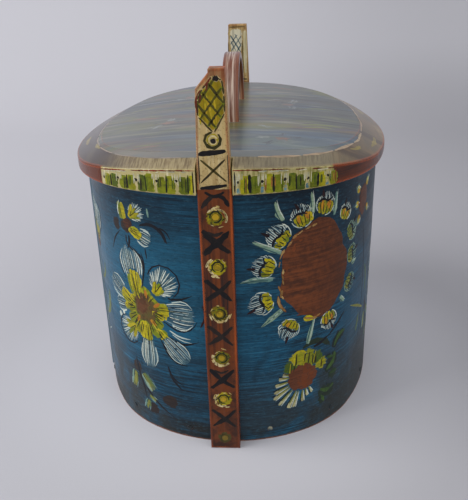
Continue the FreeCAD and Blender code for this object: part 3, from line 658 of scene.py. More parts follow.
def ball_blank(name, segments, rings, lying):
    """A ball whose poles are a mark's two ends (lying) or the middle of a patch, kept to copy marks from."""
    clear_selection()
    turn = (math.pi / 2, math.pi / 6 if segments == 6 else 0, 0) if lying else (0, 0, 0)
    bpy.ops.mesh.primitive_uv_sphere_add(
        segments=segments, ring_count=rings, radius=1.0, calc_uvs=False, location=(0, 0, 0), rotation=turn
    )
    blank = bpy.context.object
    bpy.ops.object.transform_apply(location=True, rotation=True, scale=True)
    bpy.ops.object.shade_smooth()
    blank.name = blank.data.name = name
    spots = np.zeros(len(blank.data.vertices) * 3)
    blank.data.vertices.foreach_get("co", spots)
    loops = np.zeros(len(blank.data.loops), int)
    blank.data.loops.foreach_get("vertex_index", loops)
    blank.data.uv_layers.new(name=UV_NAME)
    blank.data.attributes.new(TONE, "FLOAT", "POINT")
    blank.data.attributes.new(EDGE, "FLOAT", "POINT")
    mesh = blank.data
    for edge in mesh.edges:
        edge.use_edge_sharp = all(abs(mesh.vertices[v].co.z) < 1e-5 for v in edge.vertices)
    bpy.data.objects.remove(blank)
    return mesh, spots.reshape(-1, 3), loops


def smooth_line(points, v):
    """Places and directions at shares v along a smooth line through the points."""
    p = np.array(points, float)
    if len(p) == 2:
        p = np.stack([p[0], p.mean(0), p[1]])
    knots = np.concatenate([[0], np.cumsum(np.hypot(*np.diff(p, axis=0).T))])
    knots /= knots[-1]
    slope = np.gradient(p, knots, axis=0)
    i = np.clip(np.searchsorted(knots, v, side="right") - 1, 0, len(p) - 2)
    h = (knots[i + 1] - knots[i])[:, None]
    t = ((v - knots[i]) / h[:, 0])[:, None]
    place = ((2 * t**3 - 3 * t**2 + 1) * p[i] + (t**3 - 2 * t**2 + t) * h * slope[i]
             + (3 * t**2 - 2 * t**3) * p[i + 1] + (t**3 - t**2) * h * slope[i + 1])
    way = ((6 * t**2 - 6 * t) * p[i] / h + (3 * t**2 - 4 * t + 1) * slope[i]
           + (6 * t - 6 * t**2) * p[i + 1] / h + (3 * t**2 - 2 * t) * slope[i + 1])
    return place, way / np.maximum(np.hypot(*way.T), 1e-9)[:, None]


class Spray:
    """A motif: brush marks on one surface round a middle, all in millimetres, scaled or mirrored together."""

    blanks = {}

    def __init__(self, surface, middle=(0, 0), size=1.0, mirror=False, seed=1):
        self.surface, self.middle, self.size, self.mirror = surface, middle, size, mirror
        self.chance = random.Random(seed)
        self.marks = []

    def to_surface(self, points):
        p = np.array(points, float).reshape(-1, 2) * self.size
        if self.mirror:
            p[:, 0] *= -1
        return (p + self.middle) * MM

    def between(self, low, high):
        return self.chance.uniform(low, high)

    def jog(self, amount):
        return self.between(-amount, amount)

    def copy(self, blank, flat, lift, uv, edge, material):
        """One copy of a blank, laid on the surface."""
        mesh, spots, loops = self.blanks[blank]
        piece = bpy.data.objects.new("mark", mesh.copy())
        bpy.context.scene.collection.objects.link(piece)
        laid = self.surface.place(flat[:, 0], flat[:, 1], lift)
        piece.data.vertices.foreach_set("co", laid.astype(np.float32).ravel())
        piece.data.uv_layers[UV_NAME].uv.foreach_set("vector", uv[loops].astype(np.float32).ravel())
        tone = np.full(len(spots), self.chance.random(), np.float32)
        piece.data.attributes[TONE].data.foreach_set("value", tone)
        piece.data.attributes[EDGE].data.foreach_set("value", edge.astype(np.float32))
        piece.data.materials.append(bpy.data.materials[material])
        piece.data.update()
        self.marks.append(piece)

    def mark(self, material, points, width, layer=1, ends=(0.35, 0.55), blank="line", wobble=0.08, body=1.0):
        """A brush mark along the points. ends is how quickly it widens and narrows: 0.3 is blunt, 1 a long taper."""
        if blank == "stroke" and width * self.size > WIDE_MARK:
            blank = "wide"
        spots = self.blanks[blank][1]
        v = (spots[:, 1] + 1) / 2
        ring = np.round(v, 6)
        round_section = np.sqrt(np.maximum(1 - spots[:, 1] ** 2, 1e-12))
        across, up = spots[:, 0] / round_section, spots[:, 2] / round_section
        pole = (v < 1e-5) | (v > 1 - 1e-5)
        across[pole] = up[pole] = 0
        a, b = ends
        peak = (a / (a + b)) ** a * (b / (a + b)) ** b
        envelope = np.maximum(v, 0) ** a * np.maximum(1 - v, 0) ** b / peak
        shake = {r: 1 + self.jog(wobble) for r in sorted(set(ring))}
        half = 0.5 * width * self.size * MM * envelope * np.array([shake[r] for r in ring])
        path, way = smooth_line(self.to_surface(points), np.clip(v, 0, 1))
        side = np.stack([way[:, 1], -way[:, 0]], -1)
        flat = path + side * (across * half)[:, None]
        full = sizes().body * body * np.minimum(1, envelope * 1.6)
        base = sizes().layer * layer
        lift = np.where(up > 0, base + up * full, base + up * (base + sizes().sunk))
        uv = np.stack([across * half / MM, v], -1)
        edge = np.maximum(np.abs(across), np.abs(2 * v - 1) ** 3)
        self.copy(blank, flat, lift, uv, edge, material)

    def line(self, material, points, width, layer=1, ends=(0.3, 0.6), **more):
        self.mark(material, points, width, layer, ends, blank="line", **more)

    def stroke(self, material, points, width, layer=1, ends=(0.35, 0.55), **more):
        self.mark(material, points, width, layer, ends, "stroke", **more)

    def strokes(self, material, *rows):
        """Strokes of one paint, by rows: points, width, layer and ends."""
        for row in rows:
            self.stroke(material, *row)

    def patch(self, material, middle, radii, layer=1, body=1.2, blank="patch", ragged=0.05):
        """A filled patch: radii are its reach at even angles from the right, anticlockwise."""
        spots = self.blanks[blank][1]
        angle = np.arctan2(spots[:, 1], spots[:, 0])
        reach = np.hypot(spots[:, 0], spots[:, 1])
        r = np.array(radii, float)
        around = np.append(r, r[0])
        place = np.mod(angle, math.tau) / math.tau * len(r)
        lobes = np.interp(place, np.arange(len(around)), around)
        phase = [self.between(0, math.tau) for _ in range(3)]
        for k, p in zip((5, 9, 14), phase):
            lobes = lobes * (1 + ragged * np.sin(k * angle + p) * 0.6)
        off = np.stack([np.cos(angle), np.sin(angle)], -1) * (lobes * reach)[:, None]
        flat = self.to_surface(np.array(middle) + off)
        base = sizes().layer * layer
        up = np.sign(spots[:, 2]) * np.abs(spots[:, 2]) ** 0.6
        lift = np.where(up > 0, base + up * sizes().body * body, base + up * (base + sizes().sunk))
        uv = np.stack([off[:, 1], off[:, 0] / (2 * r.max()) + 0.5], -1)
        self.copy(blank, flat, lift, uv, reach, material)

    def dot(self, material, middle, radius, layer=2, **more):
        self.patch(material, middle, [radius] * 6, layer, blank="dot", **more)

    def ring(self, material, middle, radius, width, start=0.0, sweep=360.0, layer=3):
        """A line that runs round a middle."""
        angles = [math.radians(start + sweep * k / 8) for k in range(9)]
        points = [(middle[0] + radius * math.cos(t), middle[1] + radius * math.sin(t)) for t in angles]
        self.stroke(material, points, width, layer, (0.12, 0.12), wobble=0.12)

    def finish(self, name, body):
        """Joins the marks into one piece that rides on a body."""
        clear_selection()
        for piece in self.marks:
            piece.select_set(True)
        whole = self.marks[0]
        bpy.context.view_layer.objects.active = whole
        if len(self.marks) > 1:
            bpy.ops.object.join()
        whole.name = whole.data.name = name
        clear_selection()
        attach(whole, body)
        return whole


def towards(angle, distance, start=(0, 0)):
    t = math.radians(angle)
    return start[0] + distance * math.cos(t), start[1] + distance * math.sin(t)


def petal(spray, foot, tip, width, edge=0, dab=0.55):
    """A petal: pale wash, a fan of fine white lines with dark ones between, a streaky yellow foot and dark sides."""
    foot, tip = np.array(foot, float), np.array(tip, float)
    reach = tip - foot
    span = float(np.hypot(*reach))
    ahead = reach / span
    side = np.array([ahead[1], -ahead[0]])

    def spot(p, q):
        spread = 0.34 + 0.66 * min(1.0, max(0.0, p) / 0.7) ** 0.8
        return foot + ahead * span * p + side * q * spread * width / 2

    spray.strokes("pale_wash", ([spot(0.12, 0), spot(0.6, 0.04), spot(1.05, 0)], width * 1.04, 0, (0.55, 0.3)),
                  ([spot(0.5, 0.1), spot(1.0, -0.1)], width * 0.6, 1, (0.4, 0.3)))
    count = max(6, round(width / 1.9))
    fine = sizes().fine_line / MM
    for k in range(count):
        q = (k + 0.5) / count * 2 - 1 + spray.jog(0.05)
        start = dab * 0.75 + spray.jog(0.14)
        stop = 0.70 + 0.34 * math.sqrt(max(0.0, 1 - q * q)) + spray.jog(0.05)
        spray.line("white_line" if spray.chance.random() < 0.62 else "grey_line",
                   [spot(start, q), spot((start + stop) / 2, q), spot(stop, q * 0.93)],
                   fine * spray.between(0.6, 1.25), 2)
        if k % 2:
            spray.line("black_line", [spot(start + 0.05, q + 0.1), spot(stop - 0.14, q + 0.08)], fine * 0.9, 3)
    for q in (-1, 1):
        spray.line("white_line", [spot(0.45, q * 1.02), spot(0.78, q * 1.0), spot(0.98, q * 0.55)], fine * 1.2, 3)
    for q, kind, layer in ((-0.42, "yellow_olive", 3), (0.42, "yellow_dab", 3), (0.0, "yellow_dab", 4)):
        q += spray.jog(0.06)
        spray.stroke(kind, [spot(-0.06, q * 0.7), spot(dab * (0.92 - 0.2 * abs(q)) + spray.jog(0.04), q * 0.9)],
                     width * (0.50 if q else 0.56), layer, (0.3, 0.22), wobble=0.12)
    for k in range(8):
        q = spray.jog(0.65)
        spray.line(("yellow_dark", "yellow_olive", "yellow_dark", "yellow_dab")[k % 4],
                   [spot(0.02 + spray.jog(0.05), q * 0.8), spot(dab * 0.85 + spray.jog(0.16), q)], 1.2, 5)
    if edge:
        stretch = [(0.10, 0.9), (0.36, 1.14), (0.66, 1.18), (0.92, 0.86), (1.10, 0.1)]
        spray.stroke("black_line", [spot(p, q * edge) for p, q in stretch], sizes().outline / MM, 3, (0.5, 0.6),
                     wobble=0.25)
        spray.line("black_line", [spot(p, -q * edge) for p, q in stretch[1:4]], sizes().outline / MM * 0.6, 3,
                   (0.5, 0.6))


def round_petal(spray, middle, radius, facing, edge=1, share=1.0):
    """A round petal whose white lines fan out from a yellow foot."""
    foot = towards(facing + 180, radius, middle)
    spray.patch("pale_wash", middle, [radius] * 8, 0, 0.8)
    fine = sizes().fine_line / MM
    for k in range(25):
        lean = (k - 12) * 6.6 + spray.jog(2)
        reach = 2 * radius * math.cos(math.radians(lean)) * spray.between(0.94, 1.06)
        start = towards(facing + lean, reach * spray.between(0.30, 0.5), foot)
        spray.line("white_line", [start, towards(facing + lean, reach, foot)], fine * spray.between(0.55, 1.1), 2)
        if k % 3 == 1:
            spray.line("black_thin", [start, towards(facing + lean + 4, reach * 0.84, foot)], fine * 0.8, 3)
    for k in range(4):
        lean = (k - 1.5) * 24 + spray.jog(5)
        spray.stroke("yellow_dab" if k % 2 else "yellow_olive", [towards(facing, -0.2 * radius, foot),
            towards(facing + lean, radius * (0.98 + spray.jog(0.1)) * share, foot)], radius * 0.5, 3 + k % 2,
                     (0.35, 0.5), wobble=0.2)
    spray.line("yellow_dark", [foot, towards(facing, radius * 0.9, foot)], 1.2, 5)
    spray.line("yellow_dark", [foot, towards(facing + 30, radius * 0.8, foot)], 1.0, 5)
    if edge:
        spray.ring("black_line", middle, radius * 1.12, 1.5, facing + 115, -240, 3)


def bud(spray, middle, facing, size=16.0, share=0.5, dull=False):
    """A bud of the big flower: white lines outside, yellow towards the heart, black strokes and a dark tip."""

    def spot(p, q):
        out = towards(facing, p * size / 2, middle)
        return towards(facing - 90, q * size / 2, out)

    lean = spray.jog(0.25)
    flip = spray.chance.choice((-1, 1))
    fresh, faded = ("white_line", "yellow_dab", "yellow_olive"), ("leaf_pale", "yellow_dull", "green_pale")
    white, bright, olive = faded if dull else fresh
    spray.patch("pale_wash", middle, [size * (0.47 + spray.jog(0.05)) for _ in range(8)], 0, 0.9, ragged=0.08)
    shore = 0.62 - 0.95 * share
    for k in range(13):
        q = (k - 6) / 6.3
        top = 1.0 * math.sqrt(max(0.04, 1 - q * q)) + spray.jog(0.06)
        low = min(shore - 0.25 + spray.jog(0.15), top - 0.2)
        spray.line(white, [spot(low, q * 0.86), spot((low + top) / 2, q * 1.0), spot(top, q * 0.80 + spray.jog(0.06))],
                   spray.between(0.45, 1.0), 2)
    for q in (-0.55, -0.2, 0.2, 0.5):
        spray.line("black_thin", [spot(shore, q), spot(0.85, q * 0.9)], 0.8, 3)
    for k in range(4):
        q = (k - 1.5) * 0.42
        spray.stroke(bright if k % 2 else olive,
                   [spot(-0.98 + abs(q) * 0.3, q * 0.8 + lean * 0.5), spot(shore + spray.jog(0.15) - abs(q) * 0.2, q)],
                     size * 0.25, 3 + k % 2, (0.3, 0.35), wobble=0.2)
    spray.stroke(bright, [spot(-0.55, -0.6 * flip), spot(-0.3, 0.1), spot(-0.5, 0.75 * flip)], size * 0.24, 5,
                 (0.4, 0.4), wobble=0.2)
    if share < 0.4:
        for q in (-0.35, 0.4):
            spray.stroke("yellow_orange", [spot(-0.5, q), spot(shore - 0.05, q * 0.9)], size * 0.2, 6, (0.4, 0.4),
                         wobble=0.3)
    for q in (-0.6, -0.25, 0.15, 0.6):
        spray.line("yellow_dark", [spot(-0.75, q * 0.7), spot(shore - 0.15 + spray.jog(0.2), q + lean * 0.3)], 1.0, 7)
    spray.ring(white, middle, size * 0.48, 0.9, facing + 190 + spray.jog(30), 80, 3)
    spray.ring(white, middle, size * 0.46, 0.8, facing + 80 + spray.jog(20), 70, 3)
    spray.stroke("black_line", [spot(shore - 0.25, -0.85 * flip), spot(shore, -0.3 * flip),
        spot(shore - 0.17, 0.2 * flip), spot(shore + 0.18, 0.8 * flip)], 2.0, 7, (0.4, 0.6), wobble=0.35)
    spray.line("black_line", [spot(shore - 0.4, 0.5 * flip), spot(shore, 0.1 * flip), spot(0.75, 0.2 * flip)], 1.2, 7)
    spray.mark("dark_red", [spot(0.5, -0.30 + lean), spot(1.25, -0.50 + lean)], 2.6, 6, (0.35, 0.8))


# ---- motifs


def big_flower(spray):
    """The seven-petalled flower, its middle at the heart."""
    petal(spray, (-6, 8), (-12, 45), 22, edge=1, dab=0.62)
    round_petal(spray, (18, 25), 11.5, 54, share=0.75)
    petal(spray, (9, 1), (40, 0), 23, edge=1, dab=0.46)
    petal(spray, (11, -15), (33, -38), 15, edge=1, dab=0.30)
    petal(spray, (1, -14), (0, -50), 15, edge=0, dab=0.42)
    round_petal(spray, (-20, -24), 10.5, 216, edge=1, share=1.25)
    petal(spray, (-10, 0), (-38, 14), 17, edge=0, dab=0.60)
    petal(spray, (-12, -2), (-33, -6), 12, edge=0, dab=0.55)
    spray.line("white_line", [(20, -13), (28, -17), (37, -18)], 1.5, 3)
    spray.line("white_line", [(22, -16), (30, -20), (38, -21)], 1.0, 3)
    spray.strokes("black_line", ([(20, 13), (28, 13), (41, 18)], 2.2, 2, (0.5, 1.0)),
                  ([(18, -18), (30, -23), (44, -19)], 2.0, 2, (0.5, 0.8)))
    spray.stroke("dark_red", [(44, -8), (48, 2), (46, 12)], 2.2, 2, (0.6, 0.8))
    spray.strokes("black_line", ([(16, -44), (20, -54), (30, -60)], 2.2, 1, (0.5, 0.9)),
                  ([(2, 26), (3, 36), (1, 46)], 1.8, 1, (0.5, 0.9)))
    spray.dot("white_line", (-30, -15), 2.6)
    spray.dot("white_line", (-25, -12), 1.8)
    for angle, reach, wide in ((224, 23, 10), (246, 25, 11), (270, 27, 13), (294, 25, 11), (318, 20, 10), (345, 18, 9),
                               (198, 19, 10), (62, 15, 10), (92, 14, 10), (122, 15, 10), (158, 16, 10)):
        kind = spray.chance.choice(("yellow_dab", "yellow_olive", "yellow_olive"))
        spray.stroke(kind, [towards(angle, reach * 0.35), towards(angle + spray.jog(6), reach)], wide, 4, (0.3, 0.25),
                     wobble=0.15)
        for turn in (-10, -3, 7):
            spray.line(spray.chance.choice(("yellow_dark", "yellow_dark", "yellow_dab")),
                [towards(angle + turn, reach * 0.5), towards(angle + turn * 1.2, reach * (0.9 + spray.jog(0.08)))],
                       1.2, 6)
    for angle in (20, 75, 230, 300):
        spray.stroke("yellow_orange", [towards(angle, 9), towards(angle + 8, 16)], 4.0, 6, (0.4, 0.6))
    spray.patch("heart_smear", (1, 0), [14, 14, 15, 17, 15, 13, 12, 13, 14, 15, 15, 14], 5, 1.0, ragged=0.12)
    spray.patch("heart_core", (-2, 2), [7, 8, 9, 10, 9, 8, 7, 8, 9, 9, 8, 7], 7, 0.8, ragged=0.12)


def small_flower(spray):
    """The little three-petalled flower with dark stems."""
    spray.patch("brown_smear", (-14, -3), [10, 7, 6, 7], 0, 0.6)
    spray.stroke("pale_wash", [(-6, 0), (-6, 18)], 10, 0, (0.4, 0.5))
    for x, kind in ((-9, "yellow_olive"), (-5, "yellow_dab")):
        spray.stroke(kind, [(x * 0.6, 2), (x, 17)], 7, 3, (0.35, 0.5), wobble=0.2)
    spray.line("white_line", [(-9.5, 5), (-10, 11), (-7, 18)], 1.2, 4)
    spray.line("yellow_dark", [(-6, 4), (-7, 13)], 1.1, 5)
    round_petal(spray, (10, 11), 7.8, 35, edge=0, share=1.35)
    petal(spray, (2, -4), (22, -11), 14, dab=0.64)
    spray.line("leaf_pale", [(21, 16), (22, 8)], 2.2, 1, (0.5, 0.7))
    spray.stroke("black_thin", [(10, 0), (24, 3), (32, -2), (36, -12)], 4.5, 0, (0.6, 0.6))
    spray.stroke("black_line", [(16, 3), (26, 3), (33, -2), (37, -12)], 2.4, 1, (0.9, 0.6), wobble=0.3)
    spray.strokes("black_line", ([(30, 2), (36, -1), (40, -8)], 1.6, 1, (0.5, 0.9)),
                  ([(-3, -9), (-3, -17), (4, -22), (10, -24), (15, -32)], 2.0, 1, (0.4, 0.8)),
                  ([(-10, -8), (-18, -16), (-25, -29)], 1.8, 1, (0.6, 0.9)),
                  ([(0, -8), (0, -16), (-4, -24)], 2.6, 1, (0.6, 0.9)),
                  ([(16, -17), (17, -27)], 1.6, 1, (0.6, 0.8)))
    spray.patch("brown_smear", (-2, -3), [9, 6, 8, 9, 7, 8], 3, 0.7)
    spray.patch("heart_brown", (0, 0), [5, 4.4, 5.4, 4.8], 5, 1.0, "dot")


def seedling(spray):
    """The low spray of small dull petals."""
    spray.patch("brown_smear", (-6, 14), [8, 9, 6, 8], 0, 0.6)
    spray.patch("brown_smear", (24, -8), [12, 8, 9, 7], 0, 0.6)
    spray.patch("brown_smear", (8, -20), [10, 7, 11, 6], 0, 0.6)
    for foot, tip, wide in (((-9, 9), (-12, -8), 10), ((0, 10), (11, -3), 11), ((5, -9), (12, -12), 6),
                            ((4, -13), (1, -23), 8)):
        foot, tip = np.array(foot, float), np.array(tip, float)
        side = np.array([tip[1] - foot[1], foot[0] - tip[0]]) / np.hypot(*(tip - foot))
        spray.stroke("pale_wash", [foot, tip], wide * 1.1, 0, (0.45, 0.5))
        for k, kind in enumerate(("green_pale", "yellow_dull", "yellow_dull", "leaf_pale")):
            off = side * wide * (k - 1.5) * 0.22
            spray.stroke(kind, [foot + off * 0.5, tip + off + spray.jog(0.8)], wide * 0.34, 2 + k % 2, (0.4, 0.5),
                         wobble=0.25)
        for k in (-1, 1):
            off = side * wide * k * 0.38
            spray.line("grey_line", [foot * 0.45 + tip * 0.55 + off, tip * 1.02 + off * 0.9], 0.8, 4)
        spray.line("black_thin", [foot + side, (foot + tip) / 2 + side * 1.4], 1.0, 5)
    spray.strokes("black_thin", ([(-6, 24), (-4, 10), (0, -2), (2, -16)], 3.6, 1, (0.6, 0.9)),
                  ([(0, 0), (12, -12), (30, -24)], 2.6, 1, (0.6, 0.9)),
                  ([(26, 20), (30, 12), (38, 4)], 3.0, 1, (0.6, 0.9)))


# the big heart's reach at even angles from the right, anticlockwise, in mm
SUN_REACH = (31, 30, 29, 32, 36, 39, 39, 38, 36, 34, 31, 27, 28, 30, 30, 29, 31, 34, 37, 37, 35, 34, 33, 32)


def sunflower(spray):
    """The big heart ringed with buds and pale leaves."""
    for line in ([(-32, 57), (-30, 49), (-26, 42)], [(-48, 30), (-38, 25), (-26, 19)], [(-57, 0), (-45, 2), (-32, 1)],
            [(-43, -36), (-34, -29), (-25, -22)], [(-1, -34), (-4, -46), (-7, -58)], [(-6, 60), (-5, 50), (-6, 42)],
                 [(16, 56), (15, 46), (14, 38)], [(44, 22), (36, 14)], [(30, -34), (24, -28)], [(46, -6), (38, -6)]):
        spray.stroke("leaf_pale", line, 5.4, 1, (0.9, 0.5), wobble=0.2)
        spray.mark("white_line", [(x + 1.2, y + 0.9) for x, y in line], 0.9, 2, (0.9, 0.8))
        spray.line("leaf_dark", [(x - 1.0, y - 0.8) for x, y in line], 1.3, 2, (0.9, 0.8))
    spray.stroke("yellow_dab", [(-11, -35), (0, -34), (8, -31)], 8.0, 2, (0.4, 0.5))
    for x, y, size, share in ((-13, 44, 18, 0.35), (6, 49, 17, 0.25), (27, 38, 14, 0.3), (-30, 32, 19, 0.6),
                              (-40, 11, 18, 0.45), (-42, -17, 19, 0.65), (-22, -41, 18, 0.6), (13, -43, 17, 0.35),
                              (39, 2, 16, 0.5), (37, -21, 16, 0.5), (37, 21, 16, 0.5)):
        bud(spray, (x, y), math.degrees(math.atan2(y, x)) + spray.jog(8), size, share, dull=x > 30)
    for x, y in ((-10, 43), (7, 47), (-24, -38)):
        spray.stroke("yellow_orange", [(x, y), (x + 3, y + 3)], 4.0, 7, (0.4, 0.6))
    spray.patch("heart_wide", (0, 0), SUN_REACH, 6, 1.2, "heart", ragged=0.03)
    for k in range(14):
        y = -30 + 4.6 * k + spray.jog(1.5)
        wide = 27 * math.sqrt(max(0.05, 1 - (y / 38) ** 2))
        x = spray.jog(wide * 0.75)
        reach = min(spray.between(7, 18), wide - abs(x))
        spray.stroke("heart_red" if x < 2 else "heart_dark", [(x - reach, y), (x, y + spray.jog(1.5)),
            (x + reach, y + spray.jog(2))], spray.between(1.2, 3.2), 8, (0.7, 0.7), wobble=0.4, body=0.3)
    for k in range(13):
        angle = 92 + 9 * k + spray.jog(3)
        reach = 32 + 6 * max(0.0, math.sin(math.radians(angle))) ** 2 + spray.jog(0.8) - (4 if 155 < angle < 185 else 0)
        bend = spray.between(7, 12)
        spray.stroke("gold_edge", [towards(angle, reach - 1.5), towards(angle + bend, reach - 2.2)],
                     spray.between(1.0, 2.0), 9, (0.5, 0.6), wobble=0.4, body=0.6)
    spray.stroke("heart_red", [(-25, 2), (-21, 12), (-19, 21), (-10, 30)], 5.5, 8, (0.7, 0.7), wobble=0.4, body=0.4)
    for line in ([(-30, -12), (-29, -19), (-24, -26)], [(-10, -34), (-2, -36), (5, -34)], [(-27, -8), (-28, -14)]):
        spray.stroke("gold_edge", line, 2.0, 9, (0.5, 0.5), wobble=0.5, body=0.6)


def daisy(spray):
    """The low flower with a fan of drop-shaped marks and green lobes over its heart."""
    for line, wide in (([(20, -4), (28, 2), (30, 12)], 9), ([(14, -18), (22, -22), (32, -18)], 10),
                       ([(28, 14), (34, 22), (44, 24)], 8), ([(24, -8), (34, -8)], 9), ([(16, -24), (20, -32)], 7),
                       ([(20, 8), (30, 6)], 7)):
        spray.stroke("green_dark", line, wide * 1.35, 0, (0.5, 0.6), wobble=0.3)
        spray.stroke("green_leaf", [(x + 1, y + 1) for x, y in line], wide * 0.55, 1, (0.5, 0.6), wobble=0.4)
    for k in range(11):
        angle = 160 + k * 13.6 + spray.jog(3)
        swell = max(0.0, math.cos(math.radians(angle - 228) * 1.5))
        reach = 18 + 11 * swell + spray.jog(1.6)
        wide = spray.between(2.6, 4.0) + (1.6 if k == 0 else 0)
        spray.stroke("pale_wash", [towards(angle, reach + 0.6), towards(angle, 10)], wide * 1.2, 0, (0.28, 0.9))
        spray.stroke("pale_yellow", [towards(angle, reach), towards(angle, 11)], wide, 2, (0.22, 1.2), wobble=0.25)
        spray.line("yellow_dull", [towards(angle - 2, reach * 0.86), towards(angle - 1, 11)], wide * 0.5, 3, (0.4, 0.8))
        spray.line("white_line", [towards(angle + 4, reach - 0.5), towards(angle + 3, 12)], 0.8, 4)
        spray.line("black_line", [towards(angle - 5, reach + 0.5), towards(angle - 4, 12)], 1.1, 3)
    for x, y, r, kind in ((-10, 10, 6.5, "green_lobe"), (12, 13, 7, "green_lobe"), (-4, 17, 8, "yellow_olive"),
                          (4, 15, 8, "green_lobe"), (16, 7, 6, "yellow_olive")):
        spray.patch(kind, (x, y), [r * (1 + spray.jog(0.18)) for _ in range(8)], 3, 0.9, ragged=0.15)
        for _ in range(3):
            lean = spray.jog(0.6 * r)
            spray.line(spray.chance.choice(("yellow_dark", "yellow_dab", "yellow_dark")),
                       [(x + lean, y - r * 0.7), (x + lean * 1.3 + 1, y + r * 0.7)], spray.between(1.0, 2.0), 5)
    spray.ring("yellow_dab", (-3, 17), 6.0, 2.4, 20, 200, 5)
    spray.stroke("green_dark", [(-2, 24), (8, 28), (20, 24), (26, 16)], 7.0, 1, (0.6, 0.6), wobble=0.3)
    spray.strokes("black_line", ([(24, 29), (16, 25), (8, 23)], 3.4, 2, (0.7, 0.4)),
                  ([(42, 42), (32, 34), (22, 27)], 2.6, 1, (0.7, 0.6)))
    spray.patch("heart_brown", (0, 0), [12, 11.5, 11, 12, 12.5, 12, 11, 11.5], 6, 1.0, "heart", ragged=0.07)
    spray.patch("heart_red", (1, -1), [9, 10, 8, 9], 8, 0.6, ragged=0.15)


def tulip(spray):
    """A side bloom on a leafy stem, for the two ends of the box."""
    spray.stroke("black_line", [(0, 20), (2, 0), (-2, -30), (3, -66)], 2.0, 1, (0.5, 0.9))
    for side in (-1, 1):
        spray.stroke("green_pale", [(0, -46), (side * 16, -34), (side * 22, -12)], 7.0, 1, (0.8, 0.8))
        spray.stroke("leaf_pale", [(0, -44), (side * 13, -30), (side * 20, -12)], 1.6, 2, (0.8, 0.8))
        spray.stroke("green_pale", [(0, -14), (side * 13, -4), (side * 17, 10)], 5.0, 1, (0.8, 0.8))
        spray.stroke("black_line", [(0, -20), (side * 20, -26), (side * 27, -40)], 1.3, 1, (0.6, 0.9))
        spray.line("white_line", [(side * 2, -60), (side * 12, -54)], 1.2, 2)
    petal(spray, (-4, 22), (-15, 52), 15, edge=-1, dab=0.5)
    petal(spray, (4, 22), (15, 52), 15, edge=1, dab=0.5)
    petal(spray, (0, 20), (0, 56), 17, dab=0.45)
    spray.patch("heart_brown", (0, 20), [8, 7, 7, 8, 7, 6], 4, 1.3)


def side_bunch(spray):
    """The half-hidden bunch past the big flower's edge."""
    spray.patch("heart_brown", (0, 0), [8, 10, 12, 9, 7, 9, 12, 9], 3, 1.2)
    for dx, dy, x, y in ((-8, 8, -12, 13), (-9, 0, -14, -1), (-6, -10, -9, -16), (6, 9, 10, 15), (8, -6, 13, -12)):
        spray.stroke("pale_wash", [(dx, dy), (x * 1.1, y * 1.1)], 9, 1, (0.4, 0.5))
        spray.stroke("yellow_dab", [(dx, dy), (x, y)], 6.5, 4, (0.4, 0.5))
        spray.stroke("yellow_orange", [(dx, dy), ((dx + x) / 2, (dy + y) / 2)], 3.5, 6, (0.4, 0.5))
        for turn in (-2, 0.5, 3):
            spray.line("leaf_pale" if turn < 0 else "white_line", [(dx * 1.1 + turn, dy * 1.3),
                                                                   (x * 1.1 + turn, y * 1.05)], 0.8, 5)
    spray.stroke("yellow_dull", [(-16, -80), (4, -90), (16, -97)], 3.0, 1, (0.8, 0.6))
    spray.strokes("green_pale", ([(14, -56), (20, -70), (20, -86)], 4.5, 1, (0.8, 0.6)),
                  ([(4, -95), (2, -104), (-2, -112)], 4.5, 1, (0.8, 0.6)))
    spray.stroke("black_thin", [(2, -12), (10, -50), (8, -110), (0, -140)], 2.2, 0, (0.6, 0.9))


# ---- operators


# the lattice field's outline on a post's head: along the face and height, in mm
KITE = [(1.5, 271.6), (7.0, 269.5), (8.0, 261), (8.1, 250.5), (1.2, 238.6), (-8.0, 249), (-7.6, 258.5), (-4.4, 264.6)]
KITE_MIDDLE = (0, 254)


def cross_at(start, way, a, b):
    """How far along way from start the edge a-b is met, or None."""
    ex, ey = b[0] - a[0], b[1] - a[1]
    below = way[0] * ey - way[1] * ex
    if abs(below) < 1e-9:
        return None
    dx, dy = a[0] - start[0], a[1] - start[1]
    t, u = (dx * ey - dy * ex) / below, (dx * way[1] - dy * way[0]) / below
    return t if 0 <= u <= 1 else None


def clip_line(through, slope, outline):
    """The two ends of a slanting line inside an outline."""
    hits = [cross_at(through, (1.0, slope), a, b) for a, b in zip(outline, outline[1:] + outline[:1])]
    hits = [t for t in hits if t is not None]
    if len(hits) < 2:
        return None
    return [(through[0] + t, through[1] + slope * t) for t in (min(hits), max(hits))]


def radius_to(outline, middle, angle):
    way = (math.cos(math.radians(angle)), math.sin(math.radians(angle)))
    hits = [cross_at(middle, way, a, b) for a, b in zip(outline, outline[1:] + outline[:1])]
    return max(t for t in hits if t is not None)


